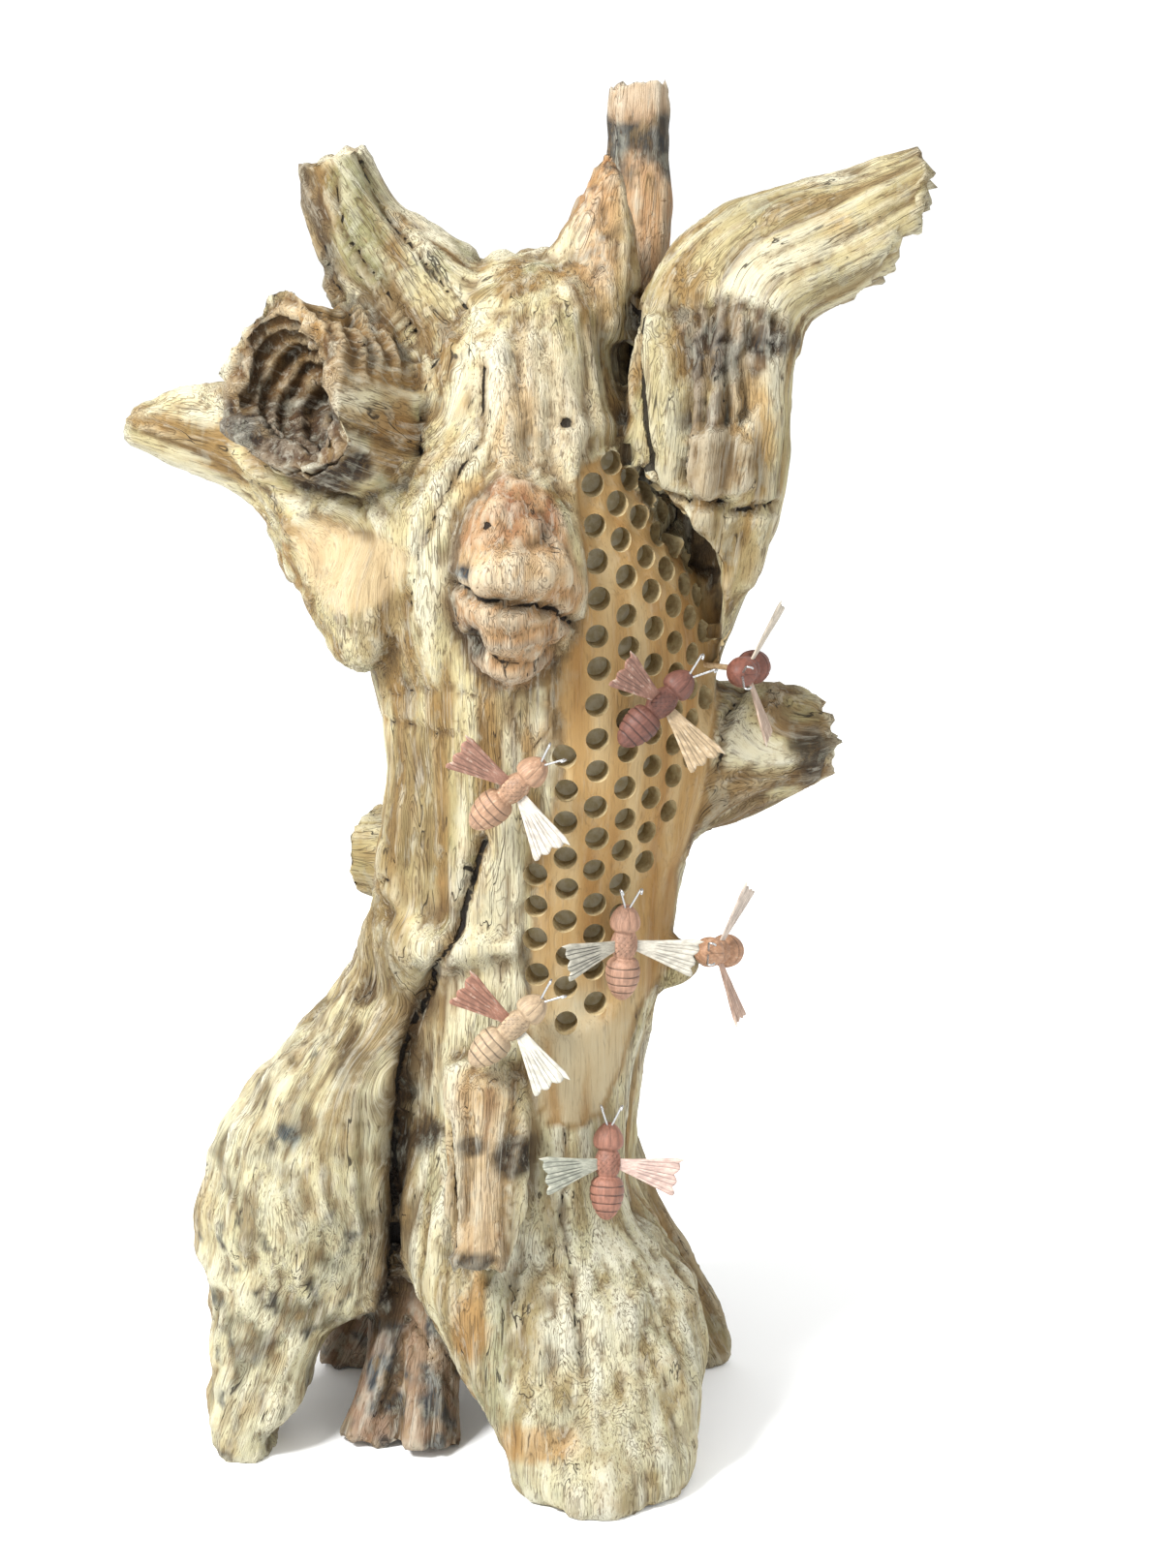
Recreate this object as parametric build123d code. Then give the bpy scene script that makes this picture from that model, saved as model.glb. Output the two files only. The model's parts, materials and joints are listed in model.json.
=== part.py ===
"""Insect hotel: one weathered root-wood stump with drilled nest tunnels and carved bees on pins.

All sizes are millimetres. +Z is up, -Y is the front, and the origin is the centre of the base on the floor.
"""

import math
import os

from build123d import *

# ---- Overall size of the stump: its drawn shape is stretched to these ----
STUMP_HEIGHT = 697.8  # floor to the top of the tallest limb
STUMP_WIDTH = 398.7  # tip of the left limb to tip of the right limb
STUMP_DEPTH = 290.6  # front of the big root to the tip of the back root

# The size at which the sections below were drawn.
DRAWN_HEIGHT, DRAWN_WIDTH, DRAWN_DEPTH = 697.8, 398.7, 290.6

# ---- Nest tunnels ----
TUNNEL_DIAMETER = 12.0
TUNNEL_DEPTH = 14.0  # shallow enough for each floor to show from the front
TUNNEL_PITCH = 17.4  # centre to centre up a column
TUNNEL_FAN_RADIUS = 104.0  # the drill is aimed at an upright line this far behind the surface
FACE_RECESS = 4.0  # how far the drilled face is planed below the weathered surface

# ---- Pins that carry the bees ----
PIN_DIAMETER = 3.0
PIN_IN_WOOD = 16.0
PIN_IN_BEE = 8.0
BEE_STAND_OFF = 15.0  # wood surface to the axis of the bee's body
PIN_RUNNING_GAP = 0.05  # all round the pin, inside the bee
PIN_END_GAP = 0.3
TUNNEL_TO_PIN = 11.0  # no tunnel is drilled nearer than this to a pin

# ---- Bee ----
HEAD_RADIUS = 7.2
THORAX_RADIUS = 6.8
ABDOMEN_RADIUS = 8.3
HEAD_LENGTH = 13.6
THORAX_LENGTH = 14.0
ABDOMEN_LENGTH = 22.0
NECK_RADIUS = 4.6
STRIPE_WIDTH = 0.8
STRIPE_DEPTH = 0.6
STRIPES = 4
WING_LENGTH = 33.0
WING_WIDTH = 20.0
WING_ROOT_WIDTH = 5.5
WING_THICKNESS = 1.5
WING_IN_BODY = 3.0
WING_RISE = 22.0  # degrees that a wing slopes up from the body
FEELER_DIAMETER = 1.1
FEELER_LENGTH = 11.0
FEELER_IN_HEAD = 3.0
FEELER_HOOK_RADIUS = 1.7
FEELER_SPREAD = 22.0  # degrees each side of straight ahead
FEELER_RISE = 18.0

RING_POINTS = 12
SEAM_TURN = math.radians(110)  # keeps the join line of every section at the back


def at(x, y, z):
    """A drawn point, stretched to the stump's overall size."""
    return Vector(
        x * STUMP_WIDTH / DRAWN_WIDTH,
        y * STUMP_DEPTH / DRAWN_DEPTH,
        z * STUMP_HEIGHT / DRAWN_HEIGHT,
    )


def ring(centre, forward, side, wide, deep, wobble, phase):
    """One closed cross-section: an oval with a few soft flutes."""
    forward = forward.normalized()
    across = (side - forward * side.dot(forward)).normalized()
    inward = forward.cross(across)
    points = []
    for i in range(RING_POINTS):
        turn = 2 * math.pi * i / RING_POINTS + SEAM_TURN
        reach = 1 + wobble * (math.cos(3 * turn + phase) + 0.6 * math.cos(5 * turn - 2 * phase))
        points.append(
            centre + across * (wide * reach * math.cos(turn)) + inward * (deep * reach * math.sin(turn))
        )
    return Wire([Edge.make_spline(points, periodic=True)])


def upright(stations, wobble=0.02, phase=0.0, inset=0.0):
    """A solid through level ovals: (height, centre x, centre y, half width, half depth)."""
    rings = [
        ring(at(x, y, z), Vector(0, 0, 1), Vector(1, 0, 0),
             wide * STUMP_WIDTH / DRAWN_WIDTH - inset, deep * STUMP_DEPTH / DRAWN_DEPTH - inset,
             wobble, phase + z / 160)
        for z, x, y, wide, deep in stations
    ]
    return Solid.make_loft(rings)


def limb(stations, side=(0, 1, 0), wobble=0.03, phase=0.0):
    """A solid along a bent line: (x, y, z, half width along side, half width across it)."""
    centres = [at(x, y, z) for x, y, z, _, _ in stations]
    rings = []
    for i, (_, _, _, wide, deep) in enumerate(stations):
        before, after = centres[max(i - 1, 0)], centres[min(i + 1, len(centres) - 1)]
        rings.append(ring(centres[i], after - before, Vector(*side), wide, deep, wobble, phase + i * 0.35))
    return Solid.make_loft(rings)


# ---- Stations of the upright parts: height, centre x, centre y, half width, half depth ----
STEM = [
    (0, 37, -94, 43, 43), (12, 37, -94, 49, 46), (30, 33, -87, 54, 47), (58, 25, -68, 66, 54),
    (79, 17, -54, 71, 60), (96, 8, -44, 73, 66), (112, 0, -36, 68, 68), (131, -5, -30, 62, 68),
    (170, -3, -20, 61, 67), (215, 0, -12, 63, 67), (250, 2, -5, 72, 69), (297, 1, 0, 80, 72),
    (349, 10, 0, 84, 75), (400, 10, 0, 88, 78), (450, 2, 0, 92, 80), (500, -14, 0, 85, 74),
    (548, -12, 0, 63, 60), (580, -3, 0, 50, 50), (600, 5, 0, 40, 38), (613, 8, 0, 24, 24),
]
LEFT_ROOT = [
    (0, -149, -58, 15, 24), (20, -145, -52, 20, 28), (41, -138, -42, 26, 34), (60, -131, -32, 36, 42),
    (85, -118, -18, 55, 56), (107, -118, -14, 55, 62), (135, -114, -12, 53, 66), (162, -108, -10, 49, 64),
    (190, -96, -8, 44, 60), (217, -80, -6, 37, 54), (250, -58, -2, 34, 48), (300, -30, 0, 30, 40),
]
# ---- Stations of the limbs: x, y, z, half width along the side direction, half width across it ----
LEFT_LIMB = [
    (-50, 0, 440, 48, 42), (-82, -2, 478, 50, 42), (-110, 3, 512, 38, 34), (-140, 8, 525, 27, 27),
    (-168, 10, 528, 20, 20), (-188, 10, 528, 15, 14), (-200, 10, 528, 7, 7),
]
CUP_LIMB = [
    (-52, 6, 520, 42, 44), (-78, -20, 538, 42, 46), (-100, -44, 550, 40, 46), (-116, -62, 558, 36, 46),
]
SAWN_LIMB = [
    (-24, 0, 556, 40, 42), (-48, 0, 584, 32, 37), (-66, 0, 605, 27, 31), (-80, 0, 622, 23, 25),
    (-89, 0, 643, 19, 20), (-95, 0, 662, 16, 17),
]
SPIKE_LIMB = [
    (26, -2, 582, 26, 30), (35, -8, 612, 18, 20), (38, -9, 628, 14, 16), (41, -10, 645, 10, 11.5),
    (42, -10, 659, 5, 6), (41, -10, 668, 1.5, 1.5),
]
TALL_LIMB = [
    (40, 20, 545, 26, 26), (54, 40, 600, 18, 18), (56, 48, 645, 16, 16.5), (56, 51, 697, 14, 15.5),
]
RIGHT_LIMB = [
    (45, 0, 392, 38, 38), (68, -8, 436, 40, 38), (85, -18, 474, 37, 34), (92, -24, 505, 38, 36),
    (92, -27, 540, 38, 40), (95, -26, 572, 37, 40), (106, -21, 596, 34, 38), (124, -16, 611, 31, 33),
    (148, -12, 621, 28, 31), (172, -10, 631, 25, 28), (200, -10, 642, 22, 25),
]
LOW_RIGHT_LIMB = [
    (50, 6, 350, 44, 44), (92, 12, 357, 38, 39), (124, 16, 362, 30, 32), (156, 20, 366, 20, 20),
]
BACK_LEFT_LIMB = [
    (-35, 40, 284, 30, 28), (-68, 60, 287, 26, 26), (-89, 72, 288, 24, 25),
]
SIDE_KNOB = [
    (52, -16, 262, 20, 20), (70, -24, 256, 15, 17), (82, -29, 260, 9, 12), (87, -31, 264, 3, 5),
]
NOSE_LIMB = [
    (-20, -66, 214, 16, 22), (-20, -84, 192, 14, 22), (-21, -98, 164, 13, 22), (-22, -110, 136, 10, 17),
    (-23, -114, 124, 8, 13),
]
CENTRE_ROOT_A = [
    (-52, 0, 120, 30, 26), (-66, -24, 72, 22, 20), (-76, -44, 34, 15, 16), (-86, -58, 0, 11, 15),
]
CENTRE_ROOT_B = [
    (-34, -4, 120, 32, 26), (-44, -32, 66, 22, 18), (-50, -50, 30, 18, 17), (-53, -62, 0, 18, 18),
]
BACK_ROOT = [
    (-40, 30, 130, 44, 40), (-76, 34, 70, 24, 26), (-94, 36, 34, 18, 22), (-102, 40, 0, 14, 20),
]
RIGHT_BACK_ROOT = [
    (12, 22, 150, 38, 38), (44, 34, 92, 26, 27), (74, 40, 48, 18, 19), (92, 40, 18, 13, 14), (98, 38, 0, 11, 12),
]
LEFT_BACK_ROOT = [
    (-56, 28, 150, 38, 38), (-100, 56, 104, 25, 27), (-138, 84, 70, 16, 18), (-168, 104, 46, 10, 11),
    (-182, 112, 36, 5, 6),
]
REAR_ROOT = [
    (-4, 34, 170, 46, 50), (0, 78, 96, 34, 40), (2, 108, 44, 24, 32), (2, 126, 0, 20, 28),
]
BURL_CENTRE, BURL_SIZE = (-3, -62, 466), (36, 40, 56)
BREAK_POINT, BREAK_NORMAL = (185, -10, 622), (0.9, 0.1, -0.43)  # the slanting break of the right limb
CUP_HOLLOW = [(-130, -77, 565, 30, 38), (-112, -58, 556, 27, 35), (-94, -38, 547, 16, 22), (-84, -28, 542, 5, 7)]

# Outline of the drilled face, seen from the front: height, left edge x, right edge x.
FACE_ROWS = [
    (238, 12, 36), (250, 3, 46), (275, -3, 56), (300, -4, 62), (325, -1, 74), (349, 2, 84), (372, 8, 89),
    (396, 16, 94), (420, 17, 96), (446, 15, 98), (470, 25, 95), (487, 27, 82), (505, 27, 66), (520, 26, 52),
    (532, 33, 43),
]
FACE_SIDE_Y = -6.0  # the planing stops here, round the right-hand side
FACE_EDGE = 5.5  # least distance from the middle of a tunnel to the edge of the drilled face

# Bees. Seat: where the pin's line is aimed. Out: the way the pin points. Heading: the way the bee looks.
BEES = [
    {"seat": (-3, -60, 365), "out": (-0.06, -1, 0.02), "heading": (0.73, 0, 0.68)},
    {"seat": (55, -40, 404), "out": (0.35, -1, 0.02), "heading": (0.73, 0.2, 0.68)},
    {"seat": (-7, -60, 239), "out": (0.04, -1, 0.17), "heading": (0.74, 0, 0.67)},
    {"seat": (40, -40, 279), "out": (0.3, -1, 0.04), "heading": (0.06, 0, 1)},
    {"seat": (60, -14, 414), "out": (1, -0.3, -0.06), "heading": (-0.35, -1, 0.12)},
    {"seat": (40, -16, 264), "out": (1, -0.42, 0.04), "heading": (-0.4, -1, 0.3)},
    {"seat": (36, -50, 161), "out": (0.14, -1, 0.24), "heading": (0.06, 0, 1)},
]


def drill(start, out, radius, deep, proud):
    """A round drill laid along out, from deep below start to proud of it."""
    plane = Plane(origin=start - out.normalized() * deep, z_dir=out)
    return plane * Pos(0, 0, (deep + proud) / 2) * Cylinder(radius, deep + proud)


def first_hit(solid, aim, out):
    """The outermost point of a solid on the line through aim along out."""
    out = out.normalized()
    far = aim + out * 1000
    hits = [point for point, _ in solid.find_intersection_points(Axis(aim, out))]
    return min(hits, key=lambda point: (point - far).length)


def stump_wood():
    """The stump before it is drilled: stem, roots and limbs in one piece of wood."""
    stem = upright(STEM, phase=0.6)
    grown = [
        upright(LEFT_ROOT, 0.03, 1.1), limb(LEFT_LIMB), limb(CUP_LIMB, (0, 0.7, -0.7), 0.04), limb(SAWN_LIMB),
        limb(SPIKE_LIMB, wobble=0.05), limb(TALL_LIMB), limb(RIGHT_LIMB), limb(LOW_RIGHT_LIMB),
        limb(BACK_LEFT_LIMB, (0, 0.8, 0.2)), limb(SIDE_KNOB), limb(NOSE_LIMB),
        limb(CENTRE_ROOT_A), limb(CENTRE_ROOT_B), limb(BACK_ROOT), limb(RIGHT_BACK_ROOT),
        limb(LEFT_BACK_ROOT, (0, 0.6, 0.4)), limb(REAR_ROOT, (1, 0, 0)),
    ]
    wood = stem
    for piece in grown:
        wood = wood.fuse(piece)
    wood = wood.cut(limb(CUP_HOLLOW, (0, 0.7, -0.7), 0.04))
    broken = Plane(origin=at(*BREAK_POINT), z_dir=Vector(*BREAK_NORMAL)) * Pos(0, 0, 60) * Box(120, 120, 120)
    wood = wood.cut(*broken.solids())
    return wood.cut(Solid.make_box(1200, 1200, 200, Plane(origin=(-600, -600, -200))))


def face_edges(z):
    """Left and right edge of the drilled face at a drawn height."""
    for (z0, left0, right0), (z1, left1, right1) in zip(FACE_ROWS, FACE_ROWS[1:]):
        if z0 <= z <= z1:
            t = (z - z0) / (z1 - z0)
            return left0 + (left1 - left0) * t, right0 + (right1 - right0) * t
    return None


def face_tool(core):
    """What is planed off the front of the stump to make the drilled face."""
    left = [at(low, -190, z) for z, low, _ in FACE_ROWS]
    right = [at(high, -190, z) for z, _, high in reversed(FACE_ROWS)]
    outline = Wire([
        Edge.make_spline(left), Edge.make_line(left[-1], right[0]),
        Edge.make_spline(right), Edge.make_line(right[-1], left[0]),
    ])
    depth = at(0, FACE_SIDE_Y, 0).Y - left[0].Y
    return Solid.extrude(Face(outline), Vector(0, depth, 0)).cut(core)


def tunnel_starts(core, pin_seats):
    """Where each nest tunnel is drilled, and which way it points, in staggered columns."""
    middle = at(20, -76, 0)
    axis_x, axis_y = middle.X, middle.Y + TUNNEL_FAN_RADIUS
    turn = TUNNEL_PITCH * math.cos(math.radians(30)) / (TUNNEL_FAN_RADIUS - 8)
    starts = []
    for column in range(-5, 9):
        for row in range(-2, 30):
            height = FACE_ROWS[0][0] * STUMP_HEIGHT / DRAWN_HEIGHT
            height += (row + 0.5 * (column % 2)) * TUNNEL_PITCH + 0.7 * math.sin(2.3 * row + 4.1 * column)
            angle = column * turn + 0.006 * math.sin(3.7 * row + 1.9 * column)
            out = Vector(math.sin(angle), -math.cos(angle), 0)
            edges = face_edges(height * DRAWN_HEIGHT / STUMP_HEIGHT)
            likely = axis_x + (TUNNEL_FAN_RADIUS - 10) * out.X
            if edges is None or not edges[0] - 25 < likely * DRAWN_WIDTH / STUMP_WIDTH < edges[1] + 25:
                continue
            start = first_hit(core, Vector(axis_x, axis_y, height), out)
            slack = FACE_EDGE * math.cos(angle)
            inside = at(edges[0], 0, 0).X + slack < start.X < at(edges[1], 0, 0).X - slack
            clear = all((start - seat).length > TUNNEL_TO_PIN for seat in pin_seats)
            if inside and clear and start.Y < at(0, FACE_SIDE_Y, 0).Y - FACE_EDGE:
                starts.append((start, out))
    return starts


def bee_radius(x):
    """Radius of the turned body at a distance x ahead of the middle of the thorax."""
    half = THORAX_LENGTH / 2
    if x > half:
        t, full = (x - half) / HEAD_LENGTH, HEAD_RADIUS
    elif x > -half:
        t, full = (x + half) / THORAX_LENGTH, THORAX_RADIUS
        return NECK_RADIUS + (full - NECK_RADIUS) * math.sin(math.pi * t)
    else:
        t, full = (-half - x) / ABDOMEN_LENGTH, ABDOMEN_RADIUS
    start = NECK_RADIUS * (1 - t)
    return start + (full - NECK_RADIUS / 2) * math.sqrt(max(0.0, 1 - (2 * t - 1) ** 2))


def turned(x0, x1, closed_at=None):
    """One turned part of the body between x0 and x1."""
    count = 7
    xs = [x0 + (x1 - x0) * i / (count - 1) for i in range(count)]
    points = [Vector(x, 0, bee_radius(x)) for x in xs]
    if closed_at is not None:
        points[0 if closed_at < 0 else -1] = Vector(x0 if closed_at < 0 else x1, 0, 0)
    edges = [Edge.make_spline(points)]
    corners = [points[-1], Vector(x1, 0, 0), Vector(x0, 0, 0), points[0]]
    for one, two in zip(corners, corners[1:]):
        if (one - two).length > 1e-6:
            edges.append(Edge.make_line(one, two))
    return Solid.revolve(Face(Wire(edges)), 360, Axis.X)


def bee_wing(side):
    """A flat carved wing on the +Y side (side=1) or the -Y side (side=-1)."""
    w, r, n = WING_WIDTH, WING_ROOT_WIDTH, WING_LENGTH
    outline = [
        (0, r / 2), (0.28 * n, 0.62 * r), (0.62 * n, 0.30 * w), (0.93 * n, 0.47 * w), (n, 0.22 * w),
        (0.93 * n, 0.02 * w), (0.99 * n, -0.18 * w), (0.90 * n, -0.53 * w), (0.55 * n, -0.36 * w),
        (0.28 * n, -0.68 * r), (0, -r / 2),
    ]
    plate = extrude(make_face(Polyline(*[(-v, u) for u, v in outline], close=True)), WING_THICKNESS / 2, both=True)
    plate = Pos(0, THORAX_RADIUS - WING_IN_BODY, 1.5) * Rot(X=WING_RISE) * Rot(Z=8) * plate
    return (plate if side > 0 else mirror(plate, Plane.XZ)).solids()[0]


def bee_feelers():
    """One wire bent to a V: two feelers with hooked tips, its bend set in the head."""
    nose = THORAX_LENGTH / 2 + HEAD_LENGTH
    arms = []
    for side in (-1, 1):
        a = math.radians(FEELER_SPREAD) * side
        b = math.radians(FEELER_RISE)
        way = Vector(math.cos(a) * math.cos(b), math.sin(a) * math.cos(b), math.sin(b))
        root = Vector(nose - FEELER_IN_HEAD - 1.2, 0, 1.5)
        tip = root + way * (FEELER_LENGTH + FEELER_IN_HEAD)
        upward = Vector(-math.sin(b) * math.cos(a), -math.sin(b) * math.sin(a), math.cos(b))
        hook_end = tip + upward * (2 * FEELER_HOOK_RADIUS)
        path = Wire([Edge.make_line(root, tip), Edge.make_tangent_arc(tip, way, hook_end)])
        start = Plane(origin=root, z_dir=way)
        arms.append(sweep(start * Circle(FEELER_DIAMETER / 2), path=path).solids()[0])
    return arms[0].fuse(arms[1])


def bee_body(wings, feelers):
    """Head, thorax and striped abdomen carved from one stick, bored for its pin, wings and feelers."""
    half = THORAX_LENGTH / 2
    tail, nose = -half - ABDOMEN_LENGTH, half + HEAD_LENGTH
    body = turned(tail, -half, -1).fuse(turned(-half, half), turned(half, nose, 1))
    for i in range(STRIPES):
        x = -half - ABDOMEN_LENGTH * (i + 1.0) / (STRIPES + 1.2)
        around = Plane(origin=(x, 0, 0), z_dir=(1, 0, 0))
        groove = around * (Cylinder(ABDOMEN_RADIUS + 3, STRIPE_WIDTH)
                           - Cylinder(bee_radius(x) - STRIPE_DEPTH, STRIPE_WIDTH + 1))
        body = body.cut(*groove.solids())
    bore_deep = PIN_IN_BEE + PIN_END_GAP
    bore = drill(Vector(0, 0, -THORAX_RADIUS), Vector(0, 0, -1), PIN_DIAMETER / 2 + PIN_RUNNING_GAP, bore_deep, 3)
    return body.cut(*wings, feelers, *bore.solids())


def build():
    """Every node, in one frame, as a dictionary of name to solid."""
    wood = stump_wood()
    core = upright(STEM, phase=0.6, inset=FACE_RECESS)
    wood = wood.cut(face_tool(core))
    burl = Solid.make_sphere(1.0, angle1=-90, angle2=90).transform_geometry(Matrix([
        [BURL_SIZE[0] * STUMP_WIDTH / DRAWN_WIDTH, 0, 0, at(*BURL_CENTRE).X],
        [0, BURL_SIZE[1] * STUMP_DEPTH / DRAWN_DEPTH, 0, at(*BURL_CENTRE).Y],
        [0, 0, BURL_SIZE[2] * STUMP_HEIGHT / DRAWN_HEIGHT, at(*BURL_CENTRE).Z],
    ]))
    wood = wood.fuse(burl)

    frames = []
    for bee in BEES:
        out = Vector(*bee["out"]).normalized()
        seat = first_hit(wood, at(*bee["seat"]), out)
        heading = Vector(*bee["heading"])
        heading = (heading - out * heading.dot(out)).normalized()
        frames.append((seat, out, heading))

    tunnels = tunnel_starts(core, [seat for seat, _, _ in frames])
    drills = [drill(start, out, TUNNEL_DIAMETER / 2, TUNNEL_DEPTH, 12) for start, out in tunnels]
    pin_holes = [drill(seat, out, PIN_DIAMETER / 2, PIN_IN_WOOD, 6) for seat, out, _ in frames]
    wood = wood.cut(*[tool.solids()[0] for tool in drills + pin_holes])

    nodes = {"stump": wood}
    wings = [bee_wing(1), bee_wing(-1)]
    feelers = bee_feelers()
    body = bee_body(wings, feelers)
    pin_top = BEE_STAND_OFF - THORAX_RADIUS + PIN_IN_BEE
    for i, (seat, out, heading) in enumerate(frames, 1):
        place = Location(Plane(origin=seat + out * BEE_STAND_OFF, x_dir=heading, z_dir=out))
        nodes[f"bee_{i}_body"] = place * body
        nodes[f"bee_{i}_wing_left"] = place * wings[0]
        nodes[f"bee_{i}_wing_right"] = place * wings[1]
        nodes[f"bee_{i}_feelers"] = place * feelers
        nodes[f"bee_{i}_pin"] = drill(seat, out, PIN_DIAMETER / 2, PIN_IN_WOOD, pin_top)
    return nodes, frames, tunnels


def centred(nodes):
    """The shift that puts the origin at the middle of the base."""
    boxes = [shape.bounding_box() for shape in nodes.values()]
    low = [min(getattr(box.min, axis) for box in boxes) for axis in "XYZ"]
    high = [max(getattr(box.max, axis) for box in boxes) for axis in "XYZ"]
    return Vector(-(low[0] + high[0]) / 2, -(low[1] + high[1]) / 2, -low[2])


def main():
    os.makedirs("parts", exist_ok=True)
    nodes, _, tunnels = build()
    shift = Location(centred(nodes))
    for name, shape in nodes.items():
        export_step(shift * shape, f"parts/{name}.step")
    print(len(nodes), "nodes,", len(tunnels), "nest tunnels")


if __name__ == "__main__":
    main()
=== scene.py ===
"""Insect hotel: a weathered root-wood stump, drilled with nest tunnels, and carved bees on pegs."""

import json
import math

import bmesh
import bpy
import numpy as np
from mathutils import Matrix, Vector, noise
from mathutils.kdtree import KDTree

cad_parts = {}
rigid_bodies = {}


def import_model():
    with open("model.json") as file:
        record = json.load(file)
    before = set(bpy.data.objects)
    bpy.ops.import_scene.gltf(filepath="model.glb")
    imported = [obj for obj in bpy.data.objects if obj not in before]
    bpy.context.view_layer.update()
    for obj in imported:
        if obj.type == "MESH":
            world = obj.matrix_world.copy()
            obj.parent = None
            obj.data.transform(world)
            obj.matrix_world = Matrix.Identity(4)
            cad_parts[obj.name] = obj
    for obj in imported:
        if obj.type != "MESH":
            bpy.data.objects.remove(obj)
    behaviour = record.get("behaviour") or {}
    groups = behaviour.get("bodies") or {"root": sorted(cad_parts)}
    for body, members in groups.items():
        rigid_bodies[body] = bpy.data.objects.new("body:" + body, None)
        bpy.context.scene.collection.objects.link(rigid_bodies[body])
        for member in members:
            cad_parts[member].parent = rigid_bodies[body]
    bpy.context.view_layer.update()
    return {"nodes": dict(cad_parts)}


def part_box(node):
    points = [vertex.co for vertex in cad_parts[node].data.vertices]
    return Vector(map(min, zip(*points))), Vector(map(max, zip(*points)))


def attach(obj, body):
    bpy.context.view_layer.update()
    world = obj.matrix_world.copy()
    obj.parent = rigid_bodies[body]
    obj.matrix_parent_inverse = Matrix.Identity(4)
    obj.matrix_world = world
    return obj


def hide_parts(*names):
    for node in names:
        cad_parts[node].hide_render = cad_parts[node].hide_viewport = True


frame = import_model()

MM = 0.001
LEFT_TIP, FRONT_EDGE = -200.0, -139.48  # the stump's least x and y as drawn, in millimetres
low_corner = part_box("stump")[0]
SHIFT = np.array([low_corner.x / MM - LEFT_TIP, low_corner.y / MM - FRONT_EDGE, 0.0])  # drawing to row frame
EYE = np.array([31.0, -1448.9, 732.2])  # where the stump is looked at from, in the drawing
TUNNEL_RADIUS = 6.0
TUNNEL_DEPTH = 14.0
PEG_RADIUS = 1.5
PEG_DEPTH = 16.0
VOXEL = 3.4


PAINT = 0.52  # painted colours are named as they look in the bright studio light, which lifts them


def srgb(text, alpha=1.0):
    """A hex colour as linear light, as dark as the studio light needs it."""
    values = [int(text[i:i + 2], 16) / 255 for i in (0, 2, 4)]
    linear = [v / 12.92 if v <= 0.04045 else ((v + 0.055) / 1.055) ** 2.4 for v in values]
    return tuple([v * PAINT for v in linear] + [alpha])


# ---------------------------------------------------------------------------------------------
# The stump's mesh
# ---------------------------------------------------------------------------------------------

# Where each limb joins the stem and where it ends, with its radius at both, in drawing millimetres.
LIMBS = {
    "stem_low": ((30, -80, 0), (0, -20, 170), 50, 66),
    "stem_mid": ((0, -20, 170), (8, 0, 400), 66, 84),
    "stem_top": ((8, 0, 400), (2, 0, 613), 84, 30),
    "left_root": ((-60, -4, 250), (-146, -56, 0), 42, 20),
    "left_limb": ((-90, 0, 500), (-200, 10, 528), 38, 9),
    "cup": ((-60, 0, 525), (-116, -62, 558), 40, 38),
    "sawn": ((-30, 0, 565), (-95, 0, 662), 38, 16),
    "spike": ((28, -4, 590), (41, -10, 668), 22, 3),
    "tall": ((50, 30, 580), (56, 51, 697), 18, 15),
    "right_limb": ((80, -14, 450), (96, -26, 585), 40, 40),
    "right_stub": ((100, -24, 592), (200, -10, 642), 36, 24),
    "low_right": ((70, 10, 353), (156, 20, 366), 42, 20),
    "back_left": ((-40, 42, 284), (-98, 74, 288), 28, 24),
    "knob": ((58, -18, 260), (87, -31, 264), 18, 5),
    "nose": ((-20, -78, 200), (-23, -114, 124), 18, 11),
    "prong_a": ((-56, -8, 110), (-86, -58, 0), 26, 13),
    "prong_b": ((-38, -14, 100), (-53, -62, 0), 26, 18),
    "back_root": ((-56, 32, 110), (-102, 40, 0), 36, 17),
    "right_back": ((36, 28, 120), (98, 38, 0), 38, 12),
    "left_back": ((-80, 42, 150), (-184, 112, 34), 38, 6),
    "rear": ((-2, 50, 140), (2, 126, 0), 46, 24),
}


def coordinates(mesh):
    """A mesh's points as an array in drawing millimetres."""
    flat = np.zeros(len(mesh.vertices) * 3)
    mesh.vertices.foreach_get("co", flat)
    return flat.reshape(-1, 3) / MM - SHIFT


def set_coordinates(mesh, points):
    mesh.vertices.foreach_set("co", ((points + SHIFT) * MM).ravel())
    mesh.update()


def normals(mesh):
    flat = np.zeros(len(mesh.vertices) * 3)
    mesh.vertices.foreach_get("normal", flat)
    return flat.reshape(-1, 3)


def round_holes(bm, radius):
    """Mouth-ward axes of the blind round holes of one radius: the flat floors of that size."""
    seen, found = set(), []
    for face in bm.faces:
        if face in seen:
            continue
        island, stack = [], [face]
        seen.add(face)
        while stack:
            one = stack.pop()
            island.append(one)
            for edge in one.edges:
                for other in edge.link_faces:
                    if other not in seen and other.normal.dot(one.normal) > 0.9998:
                        seen.add(other)
                        stack.append(other)
        area = sum(f.calc_area() for f in island) / MM ** 2
        if abs(area - math.pi * radius ** 2) < 0.06 * math.pi * radius ** 2:
            points = {v for f in island for v in f.verts}
            middle = sum((v.co for v in points), Vector()) / len(points)
            reach = [(v.co - middle).length / MM for v in points]
            if max(reach) < radius * 1.06:
                found.append((middle, island[0].normal.copy(), island))
    return found


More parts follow.
